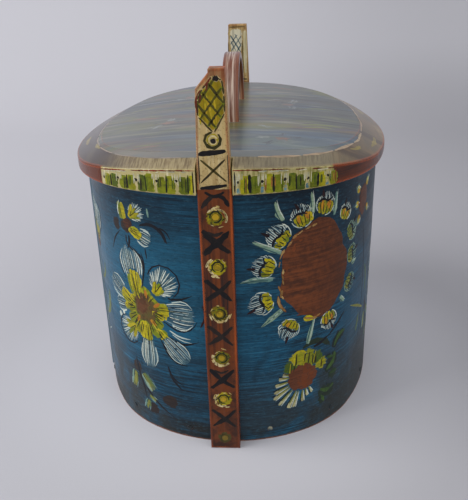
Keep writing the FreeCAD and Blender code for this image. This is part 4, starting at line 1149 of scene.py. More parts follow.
# brush-mark paints by the ground they lie on: name, two tones, cover, bristle and what else differs
MARKS = {
    "band paint": (
        ("pale_wash", (82, 112, 120), (40, 76, 94), 0.82, 1.8, dict(fray=0.6)),
        ("white_line", "white", (188, 204, 196), 0.96, 1.6, dict(fray=0.7)),
        ("grey_line", (150, 172, 178), (104, 136, 150), 0.86, 1.6),
        ("yellow_dab", "yellow", (160, 150, 20), 0.95, 1.3, dict(streak=0.55)),
        ("yellow_olive", (168, 162, 24), "green", 0.92, 1.3, dict(streak=0.6)),
        ("yellow_dull", (150, 148, 64), (104, 116, 56), 0.86, 1.2, dict(streak=0.4)),
        ("pale_yellow", (200, 196, 148), (156, 150, 104), 0.88, 1.3, dict(streak=0.3)),
        ("green_lobe", (140, 142, 22), (66, 92, 24), 0.94, 1.1, dict(streak=0.6, fray=0.7)),
        ("green_pale", (92, 116, 70), (116, 124, 44), 0.74, 0.9),
        ("green_leaf", (62, 92, 36), (36, 66, 32), 0.72, 0.7),
        ("green_dark", "dark_green", (18, 34, 28), 0.80, 0.6),
        ("leaf_pale", "leaf", (104, 142, 132), 0.90, 1.2),
        ("leaf_dark", (60, 92, 92), (44, 78, 84), 0.85, 1.2),
        ("black_line", "black", (22, 24, 32), 0.94, 1.1),
        ("black_thin", (18, 24, 32), (30, 30, 34), 0.74, 0.7),
        ("brown_smear", (44, 36, 34), (56, 44, 36), 0.70, 0.5, dict(fray=1.1)),
        ("dark_red", (52, 22, 22), (30, 18, 22), 0.95, 1.0),
        ("heart_brown", (110, 60, 34), (66, 38, 26), 1.2, 0.9, dict(streak=0.35, fray=0.42)),
        # the wide heart gets painted shade towards its right
        ("heart_wide", (130, 70, 36), (78, 44, 28), 1.2, 0.5, dict(fray=0.42, lee=0.68)),
    ),
    "yellow ground": (
        ("yellow_orange", (200, 142, 32), (176, 112, 36), 0.85, 1.2),
        ("yellow_dark", (50, 54, 16), (40, 34, 18), 0.90, 1.2),
        ("heart_smear", (104, 78, 40), (88, 86, 40), 0.90, 0.45, dict(fray=1.0)),
        ("field_amber", (196, 168, 34), (176, 138, 28), 0.75, 1.4),
        ("field_line", (86, 78, 20), (58, 52, 20), 0.96, 0.9, dict(fray=0.75)),
        ("round_black", (30, 28, 16), (48, 44, 18), 0.96, 0.9),
        ("round_olive", (70, 66, 14), (48, 46, 14), 0.90, 0.9),
        ("bar_green", (104, 118, 20), (72, 88, 22), 0.90, 1.2),
        ("bar_olive", (62, 68, 18), (50, 50, 20), 0.88, 1.2),
        ("bar_orange", (184, 138, 52), (160, 104, 48), 0.80, 1.0),
        ("bar_black", "black", (34, 34, 16), 0.96, 1.0),
    ),
    "brown ground": (
        ("heart_red", (130, 70, 38), (112, 60, 34), 0.36, 0.9),
        ("gold_edge", (186, 156, 100), (150, 108, 56), 0.84, 1.6),
        ("heart_dark", (76, 44, 30), (68, 40, 28), 0.36, 0.8),
    ),
    "smear ground": (
        ("heart_core", (114, 56, 34), (102, 66, 38), 0.84, 0.45, dict(fray=1.1)),
    ),
    "post paint": (
        ("post_black", (20, 18, 20), (40, 32, 28), 1.04, 0.9, dict(fray=0.8)),
        ("post_yellow", (186, 168, 12), (118, 104, 10), 0.98, 1.1, dict(streak=0.6, fray=0.7)),
        ("post_cream", (216, 200, 146), (192, 164, 96), 0.88, 1.3),
        ("post_olive", (62, 58, 14), (42, 40, 16), 0.90, 0.9),
        ("post_dull", (84, 76, 34), (58, 52, 30), 0.86, 0.9, dict(streak=0.5)),
        ("post_grey", (104, 120, 122), (132, 140, 134), 0.80, 1.0),
        ("post_white", (222, 214, 186), (204, 192, 150), 0.84, 1.0),
        ("post_field", (184, 156, 12), (134, 118, 10), 1.15, 1.4, dict(streak=0.35, fray=0.5)),
        ("post_cross", (74, 66, 22), (52, 42, 22), 0.94, 1.0),
        ("post_red", (120, 44, 24), (84, 40, 24), 0.85, 1.0),
    ),
    "rim paint": (
        ("rim_yellow", (184, 174, 20), (130, 136, 22), 1.02, 1.5, dict(streak=0.45, fray=0.7)),
        ("rim_green", (134, 140, 20), (78, 94, 22), 1.0, 1.5, dict(streak=0.5, fray=0.7)),
        ("rim_blue", (120, 156, 160), (88, 124, 132), 0.56, 1.2, dict(fray=1.0)),
        ("rim_black", "black", (34, 30, 22), 0.90, 1.0),
        ("rim_white", (214, 208, 174), (176, 178, 156), 0.84, 1.6),
        ("rim_red", (140, 52, 32), (98, 44, 28), 0.84, 1.0),
    ),
    "lid paint": (
        ("lid_cream", (204, 184, 146), (176, 150, 122), 0.80, 1.2),
        ("lid_line", (172, 148, 130), (136, 126, 116), 0.64, 1.0),
        ("lid_green", (118, 128, 54), (98, 110, 56), 0.56, 0.6, dict(fray=1.0, glaze=True)),
        ("lid_pink", (132, 94, 70), (114, 94, 80), 0.56, 0.6, dict(fray=1.0, glaze=True)),
        ("lid_white", (136, 144, 136), (112, 124, 122), 0.46, 0.6, dict(fray=1.0, glaze=True)),
        ("lid_dark", (52, 60, 66), (60, 64, 60), 0.42, 0.8, dict(fray=1.2, glaze=True)),
        ("lid_yellow", (158, 140, 50), (120, 104, 48), 0.80, 0.8, dict(fray=0.9, glaze=True)),
    ),
}


class FinishOperator:
    bl_options = {"REGISTER", "UNDO"}


class TINE_OT_blanks(FinishOperator, bpy.types.Operator):
    """Make the brush blanks, the shared shader groups and the brush-mark paints"""

    bl_idname = "tine.blanks"
    bl_label = "Brushes and paints"

    def execute(self, context):
        for name, segments, rings, lying in (
            ("line", 6, 7, True), ("stroke", 6, 11, True), ("wide", 12, 11, True),
            ("dot", 12, 4, False), ("patch", 24, 10, False), ("heart", 48, 28, False),
        ):
            Spray.blanks[name] = ball_blank(f"{name} blank", segments, rings, lying)
        for make in SHARED_GROUPS:
            make()
        for ground, marks in MARKS.items():
            varnish = LID_VARNISH if ground == "lid paint" else {}
            for name, first, second, cover, bristle, *more in marks:
                mark_material(name, ground, mixed(first), mixed(second), cover, bristle, **dict(*more), **varnish)
        return {"FINISHED"}


class TINE_OT_band(FinishOperator, bpy.types.Operator):
    """Finish the band, its lacing, the bottom board and the small pegs"""

    bl_idname = "tine.band"
    bl_label = "Band and bottom"

    def execute(self, context):
        material, shader, here = new_material("band_wood")
        x, y, z = split(here)
        nx, ny, _ = split(facing())
        outward = add(mul(nx, x), mul(ny, y))
        outside = step(outward, 0.004, 0.02)
        skin = group("band paint", Coordinate=here)
        bare = grained(here, (7, 7, 240))
        edges = worn(here, 0.0012, 0.5)
        shade = blend(outside, bare["Colour"], skin["Colour"])
        rubbed = blend(step(z, 0.004, 0.012), paint(128, 82, 56), paint(54, 70, 80))
        shade = blend(edges, shade, rubbed)
        # painted light: the lap's end face is painted pale to match the sheen of the wall beside it
        painted_light_lap_end = mul(step(ny, -0.7, -0.9), step(x, -0.110, -0.113))
        shade = blend(painted_light_lap_end, shade, paint(136, 156, 170))
        rough = lerp(outside, bare["Roughness"], skin["Roughness"])
        finish_material(shader, shade, {"Roughness": rough, "Height": skin["Height"]}, 0.00028)
        dress(material, "side_band")

        material, shader, here = new_material("root_strand")
        strand = grained(here, (300, 300, 60), "root", (66, 48, 34))
        blue = step(noise(here, 90.0, 3.0, 0.6), 0.50, 0.60)
        shade = over(strand["Colour"], blue, 0.8, "blue")
        finish_material(shader, shade, strand, 0.0004, 0.2, 0.3)
        dress(material, "seam_lacing_near", "seam_lacing_far")

        material, shader, here = new_material("bottom_wood")
        bare = grained(here, (260, 7, 260))
        under = step(split(facing())[2], -0.4, -0.8)
        soil = mul(under, step(noise(here, 14.0, 4.0, 0.6), 0.35, 0.7))
        shade = over(bare["Colour"], soil, 0.7, (86, 66, 48))
        finish_material(shader, shade, bare, 0.0004, 0.0)
        dress(material, "bottom_board")

        material, shader, here = new_material("small_peg_wood")
        skin = group("band paint", Coordinate=here)
        grain = grained(here, (900, 900, 900), (182, 178, 150), (120, 118, 96))
        rubbed = step(noise(here, 42.0, 1.0), 0.50, 0.56)
        rubbed = mul(rubbed, step(split(here)[0], -0.01, 0.01))
        rubbed = mul(rubbed, 0.7)
        shade = blend(rubbed, skin["Colour"], grain["Colour"])
        finish_material(shader, shade, {"Roughness": skin["Roughness"], "Height": grain["Height"]}, 0.0002)
        dress(material, "bottom_pegs")
        return {"FINISHED"}


class TINE_OT_posts(FinishOperator, bpy.types.Operator):
    """Finish both posts and their pegs"""

    bl_idname = "tine.posts"
    bl_label = "Posts"

    def execute(self, context):
        for side in ("near", "far"):
            material, shader, here = new_material(f"{side}_post_wood")
            skin = group("post paint", Coordinate=here)
            edges = worn(here, 0.0030, 0.36)
            rub = grained(here, (260, 260, 30), "orange", (120, 58, 32))
            above = step(split(here)[2], 0.262, 0.272)
            mask = calc("MAXIMUM", mul(edges, 1.0 if side == "near" else 0.35),
                        mul(above, 0.7 if side == "near" else 0.1))
            shade = blend(mask, skin["Colour"], rub["Colour"])
            finish_material(shader, shade, skin, 0.00022)
            dress(material, f"{side}_post")

            material, shader, here = new_material(f"{side}_peg_wood")
            grain = brushed(here, (300, 300, 300), (186, 152, 28), (206, 172, 62), (122, 108, 22))
            edges = worn(here, 0.0008, 0.3)
            dull = step(split(here)[2], 0.03, 0.015)
            shade = blend(edges, grain["Colour"], paint(60, 54, 18))
            shade = over(shade, dull, 0.7, (72, 62, 34))
            finish_material(shader, shade, grain, 0.0004)
            dress(material, f"{side}_post_pegs")
        return {"FINISHED"}


class TINE_OT_lid(FinishOperator, bpy.types.Operator):
    """Finish the lid board, battens and handle"""

    bl_idname = "tine.lid"
    bl_label = "Lid and handle"

    def execute(self, context):
        material, shader, here = new_material("lid_wood")
        up = split(facing())[2]
        top = group("lid paint", Coordinate=here)
        rim = group("rim paint", Coordinate=here)
        bare = grained(here, (240, 7, 240))
        edges = worn(here, 0.0026, 0.40)
        shade = blend(step(up, 0.35, 0.75), rim["Colour"], top["Colour"])
        x = size_of(add(split(here)[0], CREAM_OFFSET))
        end = step(x, sizes().cream_half_width, sizes().cream_half_width - 0.002)
        rubbed = blend(end, paint(182, 80, 30), paint(196, 176, 118))
        rub = mul(edges, lerp(end, 1.0, 0.45))
        shade = blend(rub, shade, rubbed)
        shade = blend(step(up, -0.7, -0.9), shade, bare["Colour"])
        varnish = lerp(step(up, 0.35, 0.75), 0.05, LID_VARNISH["coat"])
        finish_material(shader, shade, top, 0.00016, **LID_VARNISH)
        put(shader.inputs["Coat Weight"], varnish)
        dress(material, "lid_board")

        material, shader, here = new_material("batten_wood")
        bare = grained(here, (7, 240, 240))
        finish_material(shader, bare["Colour"], bare, 0.0003, 0.0)
        dress(material, "near_batten", "far_batten", "batten_pegs")

        material, shader, here = new_material("handle_wood")
        skin = brushed(here, (620, 16, 16), (122, 66, 40), (176, 122, 86), (56, 26, 18))
        edges = worn(here, 0.0016, 0.45)
        # painted highlight: a pale glare streak down the middle of the handle
        across = size_of(add(split(here)[0], -0.0016))
        pale = mul(step(across, 0.0048, 0.0015), step(skin["Height"], 0.40, 0.60))
        shade = over(skin["Colour"], pale, 0.84, (214, 194, 176))
        shade = over(shade, edges, 0.85, (146, 74, 36))
        finish_material(shader, shade, skin, 0.0003, 0.6, 0.2, 0.4)
        dress(material, "handle", "handle_wedges")
        return {"FINISHED"}


class TINE_OT_band_flowers(FinishOperator, bpy.types.Operator):
    """Paint the flowers round the band"""

    bl_idname = "tine.band_flowers"
    bl_label = "Band flowers"

    # name, motif, middle along the band and height in mm, size, mirrored
    PLAN = (
        ("near_big_flower", big_flower, (-62, 106), 1.0, False),
        ("near_small_flower", small_flower, (-71, 170), 0.9, False),
        ("near_seedling", seedling, (-71, 37), 1.0, False),
        ("near_sunflower", sunflower, (67, 134), 1.0, False),
        ("near_daisy", daisy, (57, 50), 1.0, False),
        ("right_bunch", side_bunch, (122, 172), 1.0, False),
        ("right_big_flower", big_flower, (200, 104), 1.05, True),
        ("right_sprig_near", seedling, (152, 60), 0.9, False),
        ("right_sprig_far", seedling, (248, 60), 0.9, True),
        ("right_bunch_far", side_bunch, (278, 172), 1.0, True),
        ("far_sunflower", sunflower, (333, 134), 1.0, True),
        ("far_daisy", daisy, (343, 50), 1.0, True),
        ("far_big_flower", big_flower, (-338, 106), 1.0, True),
        ("far_small_flower", small_flower, (-329, 170), 0.9, True),
        ("far_seedling", seedling, (-329, 37), 1.0, True),
        ("left_tulip_near", tulip, (-135, 117), 1.0, False),
        ("left_tulip_far", tulip, (-260, 110), 1.0, True),
    )

    def execute(self, context):
        wall = Wall("side_band", 0.1)
        for seed, (name, motif, middle, size, mirror) in enumerate(self.PLAN):
            spray = Spray(wall, middle, size, mirror=mirror, seed=seed + 11)
            motif(spray)
            spray.finish(name, "box")
        return {"FINISHED"}


class TINE_OT_post_paint(FinishOperator, bpy.types.Operator):
    """Paint the rounds, crosses, eyes and lattices on the posts"""

    bl_idname = "tine.post_paint"
    bl_label = "Post ornament"

    def rounds(self, spray, heights):
        radius = sizes().round_radius / MM
        for z in heights:
            if z < LOWEST_ROUND:
                spray.patch("post_dull", (0, z), [radius] * 8, 1, 0.8, ragged=0.12)
                continue
            off = (spray.jog(0.5), z + spray.jog(0.5))
            spray.patch("post_yellow", off, [radius * (1.04 + spray.jog(0.12)) for _ in range(9)], 1, 1.0)
            start = spray.between(0, 360)
            for turn in range(18):
                angle = start + (11 * turn if turn < 14 else 45 * turn) + spray.jog(7)
                ring = radius * (1.06 + spray.jog(0.14))
                bend = spray.between(18, 44)
                spray.line("post_cream",
                           [towards(angle, ring, off), towards(angle + bend, ring * spray.between(0.97, 1.12), off)],
                           spray.between(1.0, 2.0) if turn < 14 else 0.9, 3)
            for turn in range(5):
                angle = spray.between(0, 360)
                spray.line("round_olive", [towards(angle, 4.2, off), towards(angle + 24, radius * 0.98, off)], 1.1, 4)
            spray.ring("round_black", (off[0] * 0.3, z), 3.8, 1.5, spray.between(0, 360), 330, 5)

    def crosses(self, spray, heights):
        wide = sizes().cross_line / MM
        for k, z in enumerate(heights):
            heavy = wide * (1.25 if k == 0 else spray.between(0.8, 1.05))
            lean = spray.jog(1.0)
            spray.stroke("post_black", [(-9.0, z + 8.5), (-2, z + 1.2 + lean), (9.0, z - 8.0)], heavy, 2, (0.25, 0.35),
                         wobble=0.25)
            spray.stroke("post_black", [(8.6, z + 8.0), (1.5, z + 0.5), (-9.2, z - 8.2 + lean)], heavy, 3, (0.35, 0.25),
                         wobble=0.25)
            if k in (0, 3):
                spray.stroke("post_black", [(-6, z + 7.5), (-1, z + 5), (5, z + 7.5)], heavy * 0.5, 2, (0.4, 0.4))

    def head(self, spray, eye, low, high):
        spray.stroke("post_black", [(-9, high - 0.6), (-3, high), (3, high + 0.4), (8.8, high + 1.6)], 3.6, 2,
                     (0.2, 0.25), wobble=0.15)
        spray.stroke("post_black", [(-9, low), (0, low + 0.8), (9, low + 2.0)], 2.8, 2, (0.2, 0.25), wobble=0.15)
        for a, b in (((-8.6, low + 3), (8.4, high - 3)), ((-8.4, high - 3.5), (8.6, low + 3.5))):
            spray.stroke("post_cross", [a, b], 1.9, 2, (0.3, 0.3), wobble=0.15)
        for x in (-8.8, 9.0):
            spray.stroke("post_black", [(x, low + 2), (x * 0.99, high)], 0.8, 1, (0.3, 0.3))
        spray.patch("post_yellow", (0.4, eye), [5.2] * 8, 1, 0.8, ragged=0.03)
        spray.ring("post_olive", (0.4, eye), 5.0, 2.2, 80, 350, 4)
        spray.ring("post_olive", (0.4, eye), 4.0, 1.0, 200, 200, 4)
        spray.ring("post_cream", (0.5, eye + 0.2), 2.5, 1.4, 10, 340, 5)
        spray.dot("post_black", (0.7, eye - 0.4), 2.0, 7)

    def lattice(self, spray, knot):
        reach = [radius_to(KITE, KITE_MIDDLE, 15 * k) for k in range(24)]
        spray.patch("post_field", KITE_MIDDLE, reach, 1, 0.8, ragged=0.02)
        for slope in (1.35, -1.35):
            for shift in (-19, -8.5, 2, 12.5):
                ends = clip_line((KITE_MIDDLE[0], KITE_MIDDLE[1] + shift), slope, KITE)
                if ends:
                    spray.stroke("field_line", ends, 1.8, 5, (0.12, 0.12), wobble=0.2, body=0.6)
        for k in range(10):
            x, z = spray.jog(6.4), KITE_MIDDLE[1] + spray.jog(9)
            spray.line("field_amber", [(x, z + 3.5), (x + spray.jog(0.5), z - 3.5)], 1.4, 3)
        for a, b in zip(KITE, KITE[1:] + KITE[:1]):
            spray.line("post_cross", [a, b], 1.4, 3, (0.15, 0.15), wobble=0.2)
        if knot:
            spray.patch("post_black", (3.6, 270.4), [2.4, 1.6, 2.6, 1.8], 5, 0.7, ragged=0.15)
            for line in ([(-3.6, 266.0), (-1, 268.5), (0.8, 271.6)], [(-8.2, 250), (-8.0, 260), (-4.8, 265.2)],
                         [(-6.6, 256), (-5.4, 262)], [(-2.4, 263), (-1.2, 268)]):
                spray.stroke("post_red", line, 1.5, 4, (0.5, 0.5), wobble=0.3)

    def inner_face(self, spray, top):
        """The face turned to the lid: worn white over cream, a grey cross, dark edge lines and a black bar at the lid
        as a painted shadow.
        """
        spray.stroke("post_white", [(-1.5, top - 3), (-1.5, top - 34)], 15, 1, (0.15, 0.3), wobble=0.1)
        spray.stroke("post_white", [(7.0, top - 4), (7.2, top - 49)], 4.2, 1, (0.2, 0.3), wobble=0.2)
        for a, b, wide in (((-7.5, -9), (3.5, -27), 2.6), ((4, -10), (-7.5, -26), 2.4), ((-7, -15), (0, -28), 1.8),
                           ((0, -9), (-7.6, -19), 1.8), ((4, -17), (-3, -29), 2.0), ((-3, -8), (4.4, -22), 1.6)):
            spray.stroke("post_grey", [(a[0], top + a[1]), (b[0], top + b[1])], wide, 2, (0.4, 0.5), wobble=0.3)
        spray.stroke("post_cross", [(4.6, top - 14), (5.0, top - 48)], 1.1, 3, (0.3, 0.4), wobble=0.3)
        spray.stroke("post_cross", [(-9.3, top - 16), (-9.2, top - 50)], 1.0, 3, (0.3, 0.4), wobble=0.3)
        rail = [(-8.6, top - 2.4), (8.6, top - 2.2)] if top > 270 else [(-8, top - 4), (8, top - 4)]
        spray.stroke("post_cross", rail, 1.0, 3, (0.3, 0.4), wobble=0.3)
        # painted shadow: a black bar where the face meets the lid
        spray.stroke("post_black", [(-9, top - 51.8), (0, top - 51.4), (9.2, top - 51.8)], 1.9, 3, (0.2, 0.25))

    def execute(self, context):
        heights = [ROUND_FOOT + ROUND_STEP * k for k in range(6)]
        between = [(a + b) / 2 for a, b in zip(heights, heights[1:])][::-1]
        for name, y, outward, middle in (("near", NEAR_POST_Y, -1, POST_X), ("far", FAR_POST_Y, 1, FAR_POST_X)):
            face = Face(y, outward, middle)
            spray = Spray(face, seed=70 + (name == "far"))
            self.rounds(spray, heights)
            self.crosses(spray, between)
            spray.stroke("post_black", [(-8.8, 191), (-4, 197), (0, 200)], 3.2, 2, (0.3, 0.3), wobble=0.2)
            spray.stroke("post_black", [(8.8, 192), (5, 198), (1, 200)], 3.2, 2, (0.3, 0.3), wobble=0.2)
            spray.stroke("post_black", [(-6.5, 202), (0, 198.8), (6.5, 202)], 2.6, 3, (0.3, 0.3), wobble=0.2)
            spray.finish(f"{name}_post_crosses", "box")
            spray = Spray(face, seed=80 + (name == "far"))
            self.head(spray, 234.3, 204.2, 226.5)
            spray.finish(f"{name}_post_eye", "box")
            spray = Spray(face, seed=90 + (name == "far"))
            self.lattice(spray, name == "near")
            spray.finish(f"{name}_post_lattice", "box")
            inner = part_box(f"{name}_post")[1 if name == "near" else 0].y
            spray = Spray(Face(inner, -outward, middle), seed=100 + (name == "far"))
            self.inner_face(spray, 276.6 if name == "far" else 266.0)
            spray.finish(f"{name}_post_inner_paint", "box")
        return {"FINISHED"}


class TINE_OT_rim_paint(FinishOperator, bpy.types.Operator):
    """Paint the pickets on both ends of the lid's rim"""

    bl_idname = "tine.rim_paint"
    bl_label = "Rim pickets"

    # for the -X and the +X half of an end: where its first picket cell starts, its cell length as a share of the
    # picket step, how many cells, where the wall starts beside the post and where the cream stops, in mm
    HALVES = {-1: (4.1, 0.972, 6, 14.4, 86.0), 1: (5.6, 1.014, 5, 10.4, 78.0)}

    def top_edge(self, a):
        return RIM_TOP / MM - 12 * (abs(a) / 120) ** 2

    def cell(self, spray, side, start, step, cut, stop, heavy):
        """One cell: a dark line, two streaky bars and between them white strokes round a dot."""
        mid = start + step / 2
        low = RIM_LOW
        top = self.top_edge(mid) - 2.0
        span = top - low
        for at in (start + 3.0, start + step - 3.0):
            wide = 7.2
            if cut - 1 < at < cut + 1.6:
                at, wide = cut + 1.9, 3.6
            if not cut + 1.6 < at < stop - 1.5:
                continue
            kind = "rim_yellow" if spray.chance.random() < 0.6 else "rim_green"
            lean = spray.jog(0.5)
            at *= side
            spray.stroke(kind, [(at, low - 0.2), (at + lean, top - span * (0.10 + spray.jog(0.06)))], wide, 1,
                         (0.1, 0.16), wobble=0.15)
            for _ in range(3):
                dx = spray.jog(2.6)
                last = "bar_orange" if side > 0 else "bar_green"
                tint = spray.chance.choice(("bar_green", "bar_olive", "bar_green", last))
                spray.stroke(tint, [(at + dx, low + spray.between(0, 4)), (at + dx + lean, top - span * 0.22)],
                             spray.between(0.8, 1.6), 3, (0.3, 0.4), wobble=0.2)
        if cut + 1.0 < mid < stop - 2:
            mid *= side
            if side > 0:
                spray.stroke("rim_blue", [(mid, low + 0.2), (mid + spray.jog(0.8), low + span * 0.36)], 3.2, 4,
                             (0.3, 0.4), wobble=0.3)
            for dx in (-2.2, -1.0, 0.2, 1.1, 2.2):
                dx += spray.jog(0.4)
                spray.line("rim_white", [(mid + dx, low + span * spray.between(0.3, 0.7)),
                                         (mid + dx + spray.jog(0.5), top - 0.4)], spray.between(0.5, 1.1), 3)
            spray.patch("rim_black", (mid + spray.jog(0.6), low + span * (0.58 + spray.jog(0.05))),
                        [1.3 + spray.jog(0.6) for _ in range(5)], 5, 0.8, "dot")
        if start > cut + 1:
            spray.stroke("bar_black", [(side * start, low + 0.3), (side * start + spray.jog(0.5), top - span * 0.08)],
                         heavy, 4, (0.2, 0.35), wobble=0.25)

    def execute(self, context):
        rim = Wall("lid_board", 0.2035, bridge=(-0.0146, 0.0098))
        for name, middle, hand in (("near", -0.8, 1), ("far", rim.round / 2 / MM, -1)):
            for side, seed in ((-1, 120), (1, 130)):
                spray = Spray(rim, (middle, 0), seed=seed + (name == "far"))
                first, share, cells, cut, stop = self.HALVES[side * hand]
                step = share * sizes().picket_step / MM
                for k in range(cells):
                    heavy = 3.0 if (side > 0 and k == 1) else spray.between(1.2, 2.0)
                    self.cell(spray, side, first + k * step, step, cut, stop, heavy)
                spray.stroke("rim_black", [(side * (cut + 0.4), 201.2), (side * (cut + 0.5), RIM_TOP / MM - 1)], 1.2,
                             2, (0.2, 0.3))
                spray.stroke("rim_red", [(side * stop, 201), (side * stop, self.top_edge(stop) - 1.4)], 1.2, 2,
                             (0.2, 0.3))
                count = 12
                for k in range(count):
                    if spray.chance.random() < LEFT_OUT:
                        continue
                    a, b = (side * (cut + (stop - cut) * t / count) for t in (k, k + spray.between(0.8, 1.15)))
                    za, zb = (self.top_edge(v) - 0.95 for v in (a, b))
                    spray.stroke("rim_red", [(a - side, za), ((a + b) / 2, (za + zb) / 2 + spray.jog(0.2)),
                                             (b + side, zb)], spray.between(0.8, 1.2), 3, (0.15, 0.2), wobble=0.4)
                # painted highlights: short white glints along the rim's top edge
                for k in range(10):
                    a = side * spray.between(cut + 1, stop - 7)
                    za = self.top_edge(a)
                    glint = [(a, za - 1.9), (a + side * spray.between(2, 6), za - 2.1 + spray.jog(0.4))]
                    spray.line("rim_white", glint, 0.9, 3, (0.3, 0.4), wobble=0.3)
                spray.finish(f"{name}_pickets_{'right' if side > 0 else 'left'}", "lid")
        return {"FINISHED"}


class TINE_OT_lid_paint(FinishOperator, bpy.types.Operator):
    """Paint the border line and the faded flowers on the lid's top"""

    bl_idname = "tine.lid_paint"
    bl_label = "Lid ornament"

    def execute(self, context):
        top = Top("lid_board")
        spray = Spray(top, seed=150)
        power = 2 / FIELD_POWER
        count = 22
        for k in range(count):
            arc = []
            for j in range(4):
                t = math.tau * (k + j * 0.345) / count
                x, y = math.cos(t), math.sin(t)
                arc.append((math.copysign(abs(x) ** power, x) * (sizes().field_half_width / MM + spray.jog(0.5)),
                            math.copysign(abs(y) ** power, y) * (sizes().field_half_length / MM + spray.jog(0.5))))
            if any(abs(x) < 14 and abs(y) > 125 for x, y in arc):
                continue
            bold = arc[1][0] > 20 and arc[1][1] < -40
            spray.stroke("lid_cream" if arc[1][0] > 20 else "lid_line", arc, 2.3 if bold else 1.3, 1, (0.35, 0.4),
                         wobble=0.35, body=0.25)
        spray.finish("lid_border_line", "lid")

        spray = Spray(top, seed=160)
        for line, kind, wide in (
            ([(50, -50), (70, -44), (90, -46)], "lid_green", 6), ([(52, -57), (68, -52), (84, -56)], "lid_green", 4),
            # painted highlight: this pale stroke stands for a glint on the varnish
            ([(62, -85), (70, -84), (78, -87)], "lid_white", 3.5),
            ([(-82, -10), (-66, -15), (-50, -23)], "lid_pink", 7),
            ([(-62, -112), (-50, -106), (-38, -104)], "lid_pink", 7),
            ([(-40, -98), (-52, -102), (-64, -100)], "lid_green", 4),
            ([(20, -54), (30, -60), (38, -64)], "lid_white", 7), ([(26, 34), (36, 41), (46, 44)], "lid_white", 3),
            ([(-44, 26), (-30, 30), (-18, 27)], "lid_white", 4), ([(56, 8), (74, 14), (88, 10)], "lid_green", 5),
            ([(-90, 20), (-76, 28), (-60, 26)], "lid_green", 6), ([(30, 100), (46, 94), (60, 98)], "lid_pink", 6),
            ([(-60, 92), (-44, 100), (-30, 96)], "lid_green", 6),
            ([(-30, -60), (-44, -62), (-56, -54)], "lid_dark", 5), ([(60, 60), (72, 70), (84, 66)], "lid_white", 4),
            ([(-76, 64), (-62, 70), (-50, 64)], "lid_pink", 6),
        ):
            spray.stroke(kind, line, wide * 1.2, 1, (0.7, 0.7), wobble=0.3, body=0.15)
        for cx, cy, turn in ((-46, -38, 20), (46, 22, 200), (-40, 58, 120), (40, -92, 80)):
            for k in range(5):
                angle = turn + k * 72 + spray.jog(14)
                inner, outer = towards(angle, 3, (cx, cy)), towards(angle + 6, 20 + spray.jog(5), (cx, cy))
                spray.stroke("lid_white" if k % 2 else "lid_dark", [inner, outer], 12, 1, (0.5, 0.4), wobble=0.25,
                             body=0.12)
            spray.patch("lid_pink", (cx, cy), [8, 6, 9, 7], 2, 0.12, ragged=0.25)
        spray.finish("lid_faded_flowers", "lid")

        spray = Spray(top, seed=170)
        for line in ([(84, -96), (90, -90), (93, -82)], [(-86, -88), (-91, -80), (-94, -70)],
                     [(84, 96), (91, 88), (95, 78)], [(-84, 94), (-91, 86), (-96, 74)],
                     [(102, -74), (106, -60), (108, -44)], [(-104, -60), (-108, -44), (-109, -30)],
                     [(104, 62), (108, 44), (109, 28)], [(-104, 64), (-108, 48), (-109, 30)]):
            spray.stroke("lid_yellow", line, 4.2, 1, (0.8, 0.6), wobble=0.3, body=0.25)
        spray.finish("lid_border_leaves", "lid")
        return {"FINISHED"}


